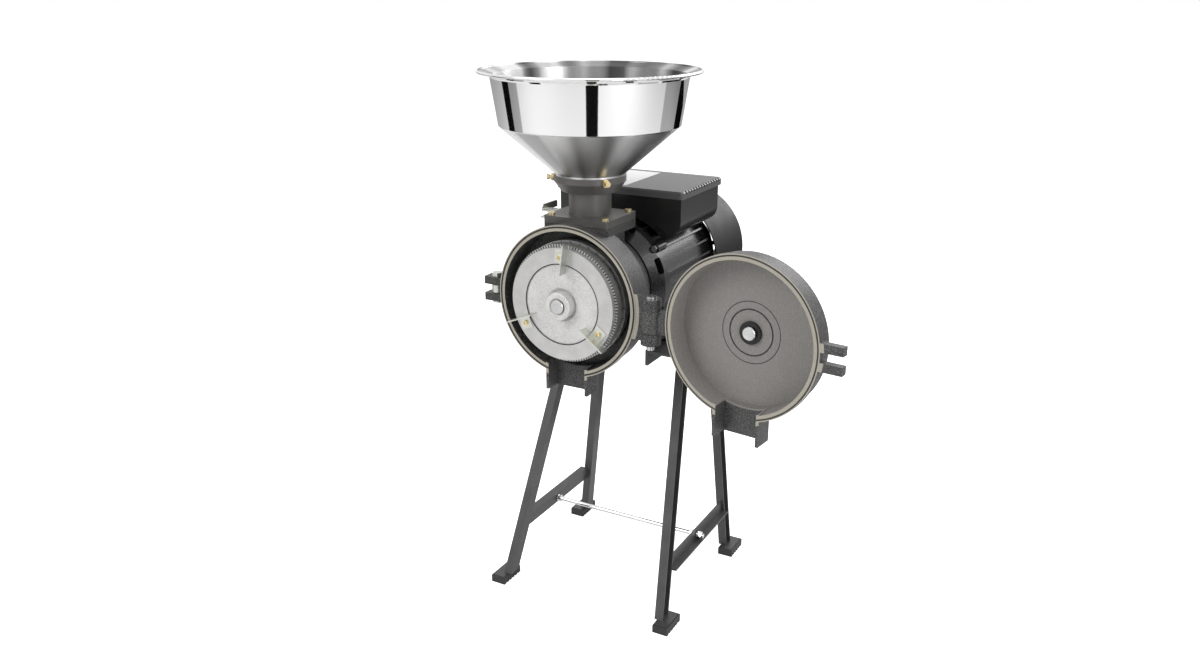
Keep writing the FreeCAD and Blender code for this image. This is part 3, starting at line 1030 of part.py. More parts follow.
    gland = fuse([Part.makeCylinder(GLAND_R - 2 - SEAT_GAP, 8, V(x, GLAND_Y, SWITCH_Z), X_AXIS),
                  hexagon(2 * GLAND_R, 5, V(x, GLAND_Y, SWITCH_Z), V(-1, 0, 0)),
                  Part.makeCone(GLAND_R - 1, GLAND_R - 4, 9, V(x - 5, GLAND_Y, SWITCH_Z), V(-1, 0, 0))])
    keep("cable_gland", gland.cut(Part.makeCylinder(GLAND_BORE_R, 40, V(x - 20, GLAND_Y, SWITCH_Z), X_AXIS)))


def bar(start, end, web, out, lips):
    """Rolled bar from start to end: a web in the lean plane with a flange pointing outward at each lip.

    A lip of -1 is the side that faces the front on a leg and the top on a brace; 1 is the other side."""
    run = end - start
    side = run.cross(out).normalize()
    faces = [(start - side * (web / 2), side * web, out * LEG_THICK)]
    for lip in lips:
        corner = start + side * (lip * web / 2)
        faces.append((corner, side * (-lip * LEG_THICK), out * LEG_FLANGE))
    slabs = [polygon_face([c, c + u, c + u + w, c + w]).extrude(run) for c, u, w in faces]
    return slabs[0] if len(slabs) == 1 else fuse(slabs)


def frame_point(y, z, out=0.0):
    """Point on the inner face of the right side frame, at a height below the shaft."""
    x = FRAME_TOP_X + (RAIL_TOP_Z - RAIL_THICK - z) * math.tan(FRAME_LEAN)
    return V(x, y, z) + OUTWARD * out


def line_y(top_y, low_y, z):
    """Y of a leg's centre line at height z."""
    top_z = RAIL_TOP_Z - RAIL_THICK
    return top_y + (low_y - top_y) * (top_z - z) / (top_z + SHAFT_HEIGHT)


def shoe_corner(low_y):
    """Inner front corner of the rubber foot under a leg."""
    foot = frame_point(low_y, LEG_END_Z)
    return V(foot.x + PAD_IN, low_y - PAD_LENGTH / 2 + PAD_FORWARD, -SHAFT_HEIGHT)


def make_leg(top_y, low_y):
    """Right-hand leg: a channel that opens outward, with the plate that its rubber foot grips."""
    top_z = RAIL_TOP_Z - RAIL_THICK
    past = 2 * LEG_WEB
    a = frame_point(line_y(top_y, low_y, top_z + past), top_z + past)
    b = frame_point(line_y(top_y, low_y, LEG_END_Z - past), LEG_END_Z - past)
    channel = bar(a, b, LEG_WEB, OUTWARD, (-1, 1))
    reach = block(0, SHAFT_HEIGHT, -SHAFT_HEIGHT, SHAFT_HEIGHT, LEG_END_Z, top_z)
    corner = shoe_corner(low_y)
    inset = PAD_LIP + PAD_FIT
    plate = block(corner.x + inset, corner.x + PAD_WIDTH - inset, corner.y + inset, corner.y + PAD_LENGTH - inset,
                  corner.z + PAD_FLOOR, LEG_END_Z)
    return fuse([channel.common(reach), plate])


def make_brace(lip):
    """Right-hand brace: an angle bar that ends against the webs of both legs."""
    front_y = line_y(FRONT_LEG_TOP_Y, FRONT_LEG_LOW_Y, BRACE_Z)
    rear_y = line_y(REAR_LEG_TOP_Y, REAR_LEG_LOW_Y, BRACE_Z)
    start = frame_point(front_y, BRACE_Z, BRACE_OUT)
    brace = bar(start, frame_point(rear_y, BRACE_Z, BRACE_OUT), BRACE_WEB, OUTWARD, (lip,))
    for top_y, low_y in ((FRONT_LEG_TOP_Y, FRONT_LEG_LOW_Y), (REAR_LEG_TOP_Y, REAR_LEG_LOW_Y)):
        a = frame_point(line_y(top_y, low_y, BRACE_Z + 2 * BRACE_WEB), BRACE_Z + 2 * BRACE_WEB, -LEG_THICK)
        b = frame_point(line_y(top_y, low_y, BRACE_Z - 2 * BRACE_WEB), BRACE_Z - 2 * BRACE_WEB, -LEG_THICK)
        side = (b - a).cross(OUTWARD).normalize() * (LEG_WEB / 2)
        deep = OUTWARD * (BRACE_OUT + LEG_FLANGE + 2 * LEG_THICK)
        brace = brace.cut(polygon_face([a - side, a + side, a + side + deep, a - side + deep]).extrude(b - a))
    return brace.cut(along(X_AXIS, ROD_R + THREAD_GAP, SHAFT_HEIGHT, V(0, ROD_Y, ROD_Z)))


def make_stand():
    """Two leaning side frames, their rails, the tie rod, rubber feet and the motor's foot bolts."""
    top_z = RAIL_TOP_Z - RAIL_THICK
    for name, top_y, low_y in (("front_leg", FRONT_LEG_TOP_Y, FRONT_LEG_LOW_Y),
                               ("rear_leg", REAR_LEG_TOP_Y, REAR_LEG_LOW_Y)):
        leg = make_leg(top_y, low_y)
        keep("right_" + name, leg)
        keep("left_" + name, mirrored_x(leg))
    keep("leg_braces", make_brace(1), mirrored_x(make_brace(-1)))

    rail_x0 = RAIL_OUT_X - RAIL_FLANGE
    rail = block(rail_x0, rail_x0 + RAIL_FLANGE, RAIL_FRONT_Y, RAIL_BACK_Y, top_z, RAIL_TOP_Z)
    for y in FOOT_HOLE_Y:
        rail = rail.cut(zbar(FOOT_BOLT_R + SLIDE_GAP, top_z - 1, RAIL_TOP_Z + 1, FOOT_HOLE_X, y))
    skirt = block(rail_x0, rail_x0 + RAIL_THICK, RAIL_FRONT_Y, RAIL_BACK_Y, RAIL_TOP_Z - RAIL_DROP, RAIL_TOP_Z - 1)
    rail = fuse([rail, skirt])
    keep("motor_rails", rail, mirrored_x(rail))

    feet = []
    for low_y in (FRONT_LEG_LOW_Y, REAR_LEG_LOW_Y):
        corner = shoe_corner(low_y)
        shoe = Part.makeBox(PAD_WIDTH, PAD_LENGTH, PAD_HEIGHT, corner)
        well = Part.makeBox(PAD_WIDTH - 2 * PAD_LIP, PAD_LENGTH - 2 * PAD_LIP, PAD_HEIGHT,
                            corner + V(PAD_LIP, PAD_LIP, PAD_FLOOR))
        shoe = shoe.cut(well)
        for i in range(PAD_GROOVES):
            y = corner.y + PAD_LENGTH * (i + 1) / (PAD_GROOVES + 1)
            shoe = shoe.cut(block(corner.x - 1, corner.x + PAD_WIDTH + 1, y - PAD_GROOVE / 2, y + PAD_GROOVE / 2,
                                  corner.z - 1, corner.z + PAD_GROOVE))
        feet.append(shoe)
        feet.append(mirrored_x(shoe))
    keep("rubber_feet", *feet)

    web_x = frame_point(ROD_Y, ROD_Z, BRACE_OUT).x
    web_in = web_x - ROD_WASHER_LIFT
    web_out = web_x + LEG_THICK / math.cos(FRAME_LEAN) + ROD_WASHER_LIFT
    reach = web_out + ROD_WASHER_THICK + ROD_NUT_THICK + ROD_PAST
    keep("tie_rod", along(X_AXIS, ROD_R, 2 * reach, V(-reach, ROD_Y, ROD_Z)))
    nuts = []
    for side in (-1, 1):
        for base_x, direction in ((web_out, side), (web_in, -side)):
            base = V(side * base_x, ROD_Y, ROD_Z)
            away = V(direction, 0, 0)
            washer = along(away, ROD_WASHER_R, ROD_WASHER_THICK, base)
            nut = turned(hexagon(ROD_NUT_AF, ROD_NUT_THICK, base + away * ROD_WASHER_THICK, away), 30, base, away)
            nuts.append(washer.fuse(nut).cut(along(X_AXIS, ROD_R, 2 * reach, V(-reach, ROD_Y, ROD_Z))))
    keep("tie_rod_nuts", *nuts)

    bolts = []
    nuts = []
    under = RAIL_TOP_Z - RAIL_THICK
    top = FOOT_BOTTOM_Z + FOOT_THICK
    for x in (-FOOT_HOLE_X, FOOT_HOLE_X):
        for y in FOOT_HOLE_Y:
            shank = zbar(FOOT_BOLT_R, under - FOOT_BOLT_PAST, top + 1, x, y)
            washer = zbar(FOOT_WASHER_R, top, top + FOOT_WASHER, x, y)
            head = hexagon(FOOT_BOLT_AF, FOOT_BOLT_HEAD, V(x, y, top + FOOT_WASHER), Z_AXIS)
            bolts.append(fuse([shank, washer, head]))
            nut = hexagon(FOOT_BOLT_AF, FOOT_NUT, V(x, y, under), V(0, 0, -1))
            nuts.append(nut.cut(zbar(FOOT_BOLT_R, under - FOOT_BOLT_PAST - 1, under + 1, x, y)))
    keep("motor_foot_bolts", *bolts, *nuts)


def main():
    """Build every node and write one file for each."""
    make_chamber()
    make_chamber_fittings()
    make_throat()
    make_hopper()
    make_rotor()
    make_moving_disc()
    make_cover()
    open_cover()
    make_latch()
    make_motor()
    make_box()
    make_stand()
    os.makedirs("parts", exist_ok=True)
    for name, shape in PARTS.items():
        shape = shape.copy()
        shape.translate(V(0, 0, SHAFT_HEIGHT))
        if not shape.isValid():
            print("not valid:", name)
        shape.exportStep("parts/" + name + ".step")


main()
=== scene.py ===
"""Looks of an electric disc mill: finishes, fine parts on its solids, camera and light."""

import logging
import math
from dataclasses import dataclass, field
from enum import Enum

import bmesh
import bpy
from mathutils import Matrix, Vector


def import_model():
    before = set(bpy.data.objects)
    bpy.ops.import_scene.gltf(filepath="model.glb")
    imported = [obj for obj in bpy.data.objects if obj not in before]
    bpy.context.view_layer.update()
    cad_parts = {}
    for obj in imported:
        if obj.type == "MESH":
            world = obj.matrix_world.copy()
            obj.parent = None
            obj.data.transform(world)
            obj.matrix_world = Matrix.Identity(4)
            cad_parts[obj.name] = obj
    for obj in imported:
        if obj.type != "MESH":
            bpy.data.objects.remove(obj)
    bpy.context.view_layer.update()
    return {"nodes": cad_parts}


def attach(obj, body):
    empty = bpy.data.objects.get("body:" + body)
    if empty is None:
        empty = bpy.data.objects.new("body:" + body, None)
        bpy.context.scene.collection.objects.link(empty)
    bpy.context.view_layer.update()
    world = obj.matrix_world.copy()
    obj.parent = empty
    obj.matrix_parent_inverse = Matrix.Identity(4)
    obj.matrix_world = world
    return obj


log = logging.getLogger("mill")
Color = tuple[float, float, float]
Socket = bpy.types.NodeSocket

SHAFT_Z = 0.4615
HINGE = Vector((0.1236, -0.0705, 0.0))
OPEN_ANGLE = math.radians(172.5)
SQUARE = 0.9  # cosine above which a face counts as square to a line
WAVE_SCALE = 0.3  # scale of the wave texture that gives about one band per metre


def opened(x: float, y: float, z: float = 0.0) -> Vector:
    """Place on the open cover of a point of the closed one.

    Args:
        x: Place across the mill, in metres.
        y: Place along the shaft.
        z: Height above the shaft.

    Returns:
        The point in the rest pose.
    """
    across = x - HINGE.x
    along = y - HINGE.y
    cos = math.cos(OPEN_ANGLE)
    sin = math.sin(OPEN_ANGLE)
    return Vector((HINGE.x + across * cos - along * sin,
                   HINGE.y + across * sin + along * cos,
                   SHAFT_Z + z))


def gray(value: float, warm: float = 0.0) -> Color:
    """Grey with an optional warm cast."""
    return (value * (1 + warm), value, value * (1 - warm))


def toned(color: Color, factor: float) -> Color:
    """Colour made darker or paler, up to white."""
    return tuple(min(1.0, c * factor) for c in color)


@dataclass(frozen=True, eq=False)
class Line:
    """Line that turned marks run around: a point on it and its direction."""

    start: Vector
    way: Vector


SHAFT = Line(Vector((0.0, 0.0, SHAFT_Z)), Vector((0.0, -1.0, 0.0)))
FALL = Line(Vector((0.0, 0.0, SHAFT_Z)), Vector((0.0, 0.0, 1.0)))
ROD = Line(Vector((0.0, 0.0, 0.077)), Vector((1.0, 0.0, 0.0)))
COVER = Line(opened(0.0, 0.0), (opened(0.0, 1.0) - opened(0.0, 0.0)).normalized())


class Graph:
    """Node graph of one material, with short calls for the nodes that the finishes use."""

    def __init__(self, name: str) -> None:
        """Start an empty material.

        Args:
            name: Name of the material.
        """
        self.material = bpy.data.materials.new(name)
        self.material.use_nodes = True
        self.tree = self.material.node_tree
        self.shader = self.tree.nodes["Principled BSDF"]
        self.coords = self.add("ShaderNodeTexCoord").outputs["Object"]

    def add(self, kind: str, **values: object) -> bpy.types.Node:
        """Add a node.

        Args:
            kind: Blender's name of the node type.
            values: Attributes to set on the node.

        Returns:
            The new node.
        """
        node = self.tree.nodes.new(kind)
        for key, value in values.items():
            setattr(node, key, value)
        return node

    def link(self, start: Socket, end: Socket) -> None:
        """Join two sockets."""
        self.tree.links.new(start, end)

    def set(self, **values: object) -> None:
        """Set the shader's own sockets; underscores stand for spaces.

        Args:
            values: Socket names and values.
        """
        for key, value in values.items():
            socket = self.shader.inputs[key.replace("_", " ")]
            socket.default_value = (*value, 1.0) if isinstance(value, tuple) else value

    def drive(self, name: str, source: Socket) -> None:
        """Feed one of the shader's sockets.

        Args:
            name: Name of the socket.
            source: What it takes its value from.
        """
        self.link(source, self.shader.inputs[name])

    def noise(self, scale: float, detail: float = 2.0, vector: Socket | None = None,
              rough: float = 0.5) -> Socket:
        """Noise texture.

        Args:
            scale: Features per metre.
            detail: Octaves.
            vector: Coordinates, or None for the object's.
            rough: Share of the fine octaves.

        Returns:
            The factor socket.
        """
        node = self.add("ShaderNodeTexNoise")
        node.inputs["Scale"].default_value = scale
        node.inputs["Detail"].default_value = detail
        node.inputs["Roughness"].default_value = rough
        self.link(vector or self.coords, node.inputs["Vector"])
        return node.outputs["Fac"]

    def cells(self, scale: float) -> Socket:
        """Cell texture with rounded cells.

        Args:
            scale: Cells per metre.

        Returns:
            The distance socket.
        """
        node = self.add("ShaderNodeTexVoronoi", feature="SMOOTH_F1")
        node.inputs["Scale"].default_value = scale
        self.link(self.coords, node.inputs["Vector"])
        return node.outputs["Distance"]

    def rings(self, scale: float, place: Socket) -> Socket:
        """Noise along one measure, which turns into rings or lines on the surface.

        Args:
            scale: Features per metre.
            place: The measure.

        Returns:
            The factor socket.
        """
        node = self.add("ShaderNodeTexNoise", noise_dimensions="1D")
        node.inputs["Scale"].default_value = scale
        node.inputs["Detail"].default_value = 2.0
        self.link(place, node.inputs["W"])
        return node.outputs["Fac"]

    def between(self, value: Socket, low: float, high: float) -> Socket:
        """1 where a value lies between two limits, and 0 elsewhere.

        Args:
            value: The value.
            low: Lower limit.
            high: Upper limit.

        Returns:
            The value socket.
        """
        return self.math("MULTIPLY", self.math("GREATER_THAN", value, low),
                         self.math("LESS_THAN", value, high))

    def ramp(self, source: Socket, stops: list[tuple[float, Color]]) -> Socket:
        """Colours by a factor.

        Args:
            source: Factor from 0 to 1.
            stops: Places and colours, in order.

        Returns:
            The colour socket.
        """
        node = self.add("ShaderNodeValToRGB")
        marks = node.color_ramp.elements
        while len(marks) < len(stops):
            marks.new(0.5)
        for mark, (place, color) in zip(marks, stops):
            mark.position = place
            mark.color = (*color, 1.0)
        self.link(source, node.inputs["Fac"])
        return node.outputs["Color"]

    def remap(self, source: Socket, low: float, high: float, to_low: float,
              to_high: float) -> Socket:
        """Map one range of values onto another.

        Args:
            source: Value socket.
            low: Start of the source's range.
            high: End of the source's range.
            to_low: Value at low.
            to_high: Value at high.

        Returns:
            The value socket.
        """
        node = self.add("ShaderNodeMapRange")
        for index, value in enumerate((low, high, to_low, to_high), start=1):
            node.inputs[index].default_value = value
        self.link(source, node.inputs[0])
        return node.outputs[0]

    def blend(self, factor: Socket, first: Socket | Color, second: Socket | Color) -> Socket:
        """Mix two colours.

        Args:
            factor: Share of the second colour.
            first: Socket or colour at 0.
            second: Socket or colour at 1.

        Returns:
            The colour socket.
        """
        node = self.add("ShaderNodeMix", data_type="RGBA")
        self.link(factor, node.inputs[0])
        for index, value in ((6, first), (7, second)):
            if isinstance(value, tuple):
                node.inputs[index].default_value = (*value, 1.0)
            else:
                self.link(value, node.inputs[index])
        return node.outputs[2]

    def relief(self, height: Socket, depth: float, strength: float = 1.0) -> None:
        """Bump on the shader's normal, on top of what it has.

        Args:
            height: Height from 0 to 1.
            depth: Depth of the bump in metres.
            strength: Strength of the bump.
        """
        node = self.add("ShaderNodeBump")
        node.inputs["Strength"].default_value = strength
        node.inputs["Distance"].default_value = depth
        self.link(height, node.inputs["Height"])
        before = self.shader.inputs["Normal"].links
        if before:
            self.link(before[0].from_socket, node.inputs["Normal"])
        self.link(node.outputs[0], self.shader.inputs["Normal"])

    def math(self, operation: str, first: Socket, second: Socket | float) -> Socket:
        """Join a value with another value or a number.

        Args:
            operation: Blender's name of the operation.
            first: First value.
            second: Second value.

        Returns:
            The value socket.
        """
        node = self.add("ShaderNodeMath", operation=operation)
        self.link(first, node.inputs[0])
        if isinstance(second, float):
            node.inputs[1].default_value = second
        else:
            self.link(second, node.inputs[1])
        return node.outputs[0]

    def dot(self, vector: Socket, way: Vector | Socket) -> Socket:
        """Dot product with a direction.

        Args:
            vector: Vector socket.
            way: The direction.

        Returns:
            The value socket.
        """
        node = self.add("ShaderNodeVectorMath", operation="DOT_PRODUCT")
        self.link(vector, node.inputs[0])
        if isinstance(way, Vector):
            node.inputs[1].default_value = way
        else:
            self.link(way, node.inputs[1])
        return node.outputs["Value"]

    def around(self, line: Line) -> tuple[Socket, Socket, Socket]:
        """Place of the surface in the cylinder coordinates of a line.

        Args:
            line: The line.

        Returns:
            Way along the line, vector straight out from it, and the length of that vector.
        """
        moved = self.add("ShaderNodeVectorMath", operation="SUBTRACT")
        moved.inputs[1].default_value = line.start
        self.link(self.coords, moved.inputs[0])
        from_start = moved.outputs[0]
        along = self.dot(from_start, line.way)
        shadow = self.add("ShaderNodeVectorMath", operation="SCALE")
        shadow.inputs[0].default_value = line.way
        self.link(along, shadow.inputs["Scale"])
        out = self.add("ShaderNodeVectorMath", operation="SUBTRACT")
        self.link(from_start, out.inputs[0])
        self.link(shadow.outputs[0], out.inputs[1])
        length = self.add("ShaderNodeVectorMath", operation="LENGTH")
        self.link(out.outputs[0], length.inputs[0])
        return along, out.outputs[0], length.outputs["Value"]

    def facing(self) -> Socket:
        """The face's own normal, without relief."""
        return self.add("ShaderNodeNewGeometry").outputs["True Normal"]


@dataclass(frozen=True)
class Finish:
    """A surface: base colour, roughness, metal and mirror strength, the same everywhere."""

    name: str
    color: Color
    rough: float = 0.5
    metal: float = 0.0
    shine: float = 0.5

    def dress(self, graph: Graph) -> None:
        """Add the finish's own marks.

        Args:
            graph: The material's graph.
        """
        speck = graph.noise(900.0, 3.0)
        graph.drive("Base Color", graph.ramp(speck, [(0.35, toned(self.color, 0.88)),
                                                     (0.65, self.color)]))

    def make(self) -> bpy.types.Material:
        """Build the material.

        Returns:
            The new material.
        """
        graph = Graph(self.name)
        graph.set(Base_Color=self.color, Roughness=self.rough, Metallic=self.metal,
                  Specular_IOR_Level=self.shine)
        self.dress(graph)
        return graph.material


@dataclass(frozen=True, eq=False)
class HammerPaint(Finish):
    """Hammer-finish paint on a casting: dimples, sparse flecks and a machined rim with a groove painted
    near-black as painted shade.

    The bowl is the paler inside of a dished casting, and the rim and groove are rings on its face.
    """

    fleck: Color = gray(0.5)
    dimple: float = 620.0
    depth: float = 0.0005
    flecked: float = 0.5
    gloss: float = 0.15
    bowl: Color | None = None
    bowl_floor: float = -0.0955
    bowl_radius: float = 0.0935
    line: Line = SHAFT
    rim_at: float = 0.0640
    rim: tuple[float, float] = (0.0905, 0.1046)
    groove: tuple[float, float] = (0.0965, 0.0985)
    rim_color: Color = (0.40, 0.37, 0.31)

    def dress(self, graph: Graph) -> None:
        """Dimples, flecks, a fine grain and the rim.

        Args:
            graph: The material's graph.
        """
        cells = graph.cells(self.dimple)
        grain = graph.noise(self.dimple * 3.0, 3.0, rough=0.65)
        along, _, radius = graph.around(self.line)
        paint = self.speckled(graph, grain, self.color, self.fleck, self.flecked)
        if self.bowl:
            inside = graph.math("MULTIPLY", graph.math("GREATER_THAN", along, self.bowl_floor),
                                graph.math("LESS_THAN", radius, self.bowl_radius))
            pale = self.speckled(graph, grain, self.bowl, toned(self.bowl, 1.9),
                                 self.flecked * 0.45)
            paint = graph.blend(inside, paint, pale)
        flat = graph.math("GREATER_THAN", graph.dot(graph.facing(), self.line.way), SQUARE)
        front = graph.math("MULTIPLY", flat, graph.math("GREATER_THAN", along, self.rim_at))
        machined = graph.math("MULTIPLY", front, graph.between(radius, *self.rim))
        worn = graph.ramp(grain, [(0.35, toned(self.rim_color, 0.7)), (0.6, self.rim_color)])
        # The near-black ring across the groove is painted shade.
        edge = graph.blend(graph.between(radius, *self.groove), worn, gray(0.03))
        graph.drive("Base Color", graph.blend(machined, paint, edge))
        graph.relief(cells, self.depth, 0.7)
        graph.relief(grain, self.depth * 0.3, 0.5)
        graph.set(Coat_Weight=self.gloss, Coat_Roughness=0.3)

    def speckled(self, graph: Graph, grain: Socket, color: Color, fleck: Color,
                 share: float) -> Socket:
        """Paint with a fine grain and sparse flecks.

        Args:
            graph: The material's graph.
            grain: Fine noise.
            color: The paint.
            fleck: The flecks.
            share: How many flecks, from 0 to 1.

        Returns:
            The colour socket.
        """
        tone = graph.ramp(grain, [(0.38, toned(color, 0.65)), (0.56, color)])
        edge = 0.72 - 0.3 * share
        specks = graph.remap(graph.noise(self.dimple * 2.2, 1.0), edge, edge + 0.06, 0.0, 1.0)
        return graph.blend(specks, tone, fleck)


@dataclass(frozen=True)
class SatinPaint(Finish):
    """Sprayed or powder paint with a light orange peel, worn a little paler in random patches."""

    peel: float = 700.0
    depth: float = 0.00012
    worn: float = 1.5

    def dress(self, graph: Graph) -> None:
        """Orange peel and patchy shade.

        Args:
            graph: The material's graph.
        """
        peel = graph.noise(self.peel, 2.0)
        patch = graph.noise(26.0, 4.0)
        graph.drive("Base Color", graph.ramp(patch, [(0.38, self.color),
                                                     (0.72, toned(self.color, self.worn))]))
        graph.drive("Roughness", graph.remap(patch, 0.3, 0.7, self.rough * 0.85, self.rough * 1.2))
        graph.relief(peel, self.depth)


@dataclass(frozen=True)
class WrinklePaint(Finish):
    """Coarse wrinkle paint on the motor's castings."""

    wrinkle: float = 520.0
    depth: float = 0.0007

    def dress(self, graph: Graph) -> None:
        """Wrinkles with glossy tops.

        Args:
            graph: The material's graph.
        """
        fold = graph.noise(self.wrinkle, 3.0, rough=0.6)
        graph.drive("Base Color", graph.ramp(fold, [(0.4, toned(self.color, 0.6)),
                                                    (0.62, self.color)]))
        graph.drive("Roughness", graph.remap(fold, 0.4, 0.65, self.rough * 1.25, self.rough * 0.8))
        graph.relief(fold, self.depth, 0.9)
        graph.set(Coat_Weight=0.3, Coat_Roughness=0.15)


@dataclass(frozen=True, eq=False)
class TurnedMetal(Finish):
    """Bare metal with fine marks around an axis."""

    line: Line = SHAFT
    marks: float = 2600.0
    depth: float = 0.00006
    dull: float = 0.8

    def dress(self, graph: Graph) -> None:
        """Rings and a cloudy tone.

        Args:
            graph: The material's graph.
        """
        _, _, radius = graph.around(self.line)
        rings = graph.rings(self.marks, radius)
        cloud = graph.noise(60.0, 4.0)
        graph.drive("Base Color", graph.ramp(cloud, [(0.35, toned(self.color, self.dull)),
                                                     (0.65, self.color)]))
        graph.drive("Roughness", graph.remap(rings, 0.3, 0.7, self.rough * 0.8, self.rough * 1.25))
        graph.relief(rings, self.depth, 0.6)


@dataclass(frozen=True)
class CastMetal(Finish):
    """Bare cast or blasted metal: pits and speckle."""

    pits: float = 900.0
    depth: float = 0.0003
    dark: float = 0.6

    def dress(self, graph: Graph) -> None:
        """Pits, grain and soft stains.

        Args:
            graph: The material's graph.
        """
        grain = graph.noise(self.pits, 4.0, rough=0.7)
        stain = graph.noise(45.0, 3.0)
        speck = graph.ramp(grain, [(0.36, toned(self.color, self.dark)), (0.56, self.color)])
        share = graph.remap(stain, 0.3, 0.7, 0.0, 0.6)
        graph.drive("Base Color", graph.blend(share, speck, toned(self.color, 1.12)))
        graph.relief(grain, self.depth, 0.7)


@dataclass(frozen=True)
class PolishedSheet(Finish):
    """Spun stainless sheet: a mirror outside above the knee, rougher on the cone and inside, where its colour
    holds painted reflections and painted shade.
    """

    knee: float = 0.2177
    brushed_and_painted_light: float = 0.3
    marks: float = 2400.0
    depth: float = 0.00008
    reflection_bands: float = 2.25
    cone_reflection_tones: tuple[float, float, float] = (0.34, 0.66, 0.9)
    bowl_shade_tones: tuple[float, float] = (0.06, 0.26)

    def dress(self, graph: Graph) -> None:
        """Roughness, rings, painted reflections as upright bands round the cone, and painted shade inside.

        Args:
            graph: The material's graph.
        """
        height, out, _ = graph.around(FALL)
        rings = graph.rings(self.marks, height)
        inside = graph.math("LESS_THAN", graph.dot(graph.facing(), out), 0.0)
        below = graph.remap(height, self.knee - 0.002, self.knee + 0.001, 1.0, 0.0)
        dull = graph.math("MAXIMUM", inside, below)
        graph.drive("Roughness", graph.remap(dull, 0.0, 1.0, self.rough, self.brushed_and_painted_light))
        unit = graph.add("ShaderNodeVectorMath", operation="NORMALIZE")
        graph.link(out, unit.inputs[0])
        # Dark and pale upright bands round the cone are painted reflections; the darker greys inside the hopper
        # are painted shade.
        reflection_band = graph.noise(self.reflection_bands, 1.0, unit.outputs[0])
        stops = (0.4, 0.5, 0.6)
        cone = graph.ramp(reflection_band, list(zip(stops, map(gray, self.cone_reflection_tones))))
        bowl = graph.ramp(reflection_band, list(zip(stops, (*map(gray, self.bowl_shade_tones), self.color))))
        brushed_and_painted_light = graph.blend(inside, cone, bowl)
        graph.drive("Base Color", graph.blend(dull, self.color, brushed_and_painted_light))
        graph.relief(graph.math("MULTIPLY", dull, rings), self.depth, 0.5)


@dataclass(frozen=True)
class LaminatedCore(Finish):
    """Stacked core plates with their edges showing along the shaft."""

    sheet: float = 0.0008

    def dress(self, graph: Graph) -> None:
        """Plate edges.

        Args:
            graph: The material's graph.
        """
        lines = graph.add("ShaderNodeTexWave", wave_type="BANDS", bands_direction="Y")
        lines.inputs["Scale"].default_value = WAVE_SCALE / self.sheet
        graph.link(graph.coords, lines.inputs["Vector"])
        graph.drive("Base Color", graph.ramp(lines.outputs["Fac"], [(0.2, toned(self.color, 0.4)),
                                                                    (0.7, self.color)]))
        graph.relief(lines.outputs["Fac"], 0.0001)


@dataclass(frozen=True)
class Moulding(Finish):
    """Moulded plastic or rubber with a fine spark-eroded grain."""

    grain: float = 2200.0
    depth: float = 0.00008

    def dress(self, graph: Graph) -> None:
        """Grain in colour, gloss and relief.

        Args:
            graph: The material's graph.
        """
        grain = graph.noise(self.grain, 2.0)
        pale = tuple(min(1.0, c * 1.25 + 0.002) for c in self.color)
        graph.drive("Base Color", graph.ramp(grain, [(0.4, self.color), (0.7, pale)]))
        graph.drive("Roughness", graph.remap(grain, 0.3, 0.7, self.rough * 0.9,
                                             min(1.0, self.rough * 1.15)))
        graph.relief(grain, self.depth, 0.6)


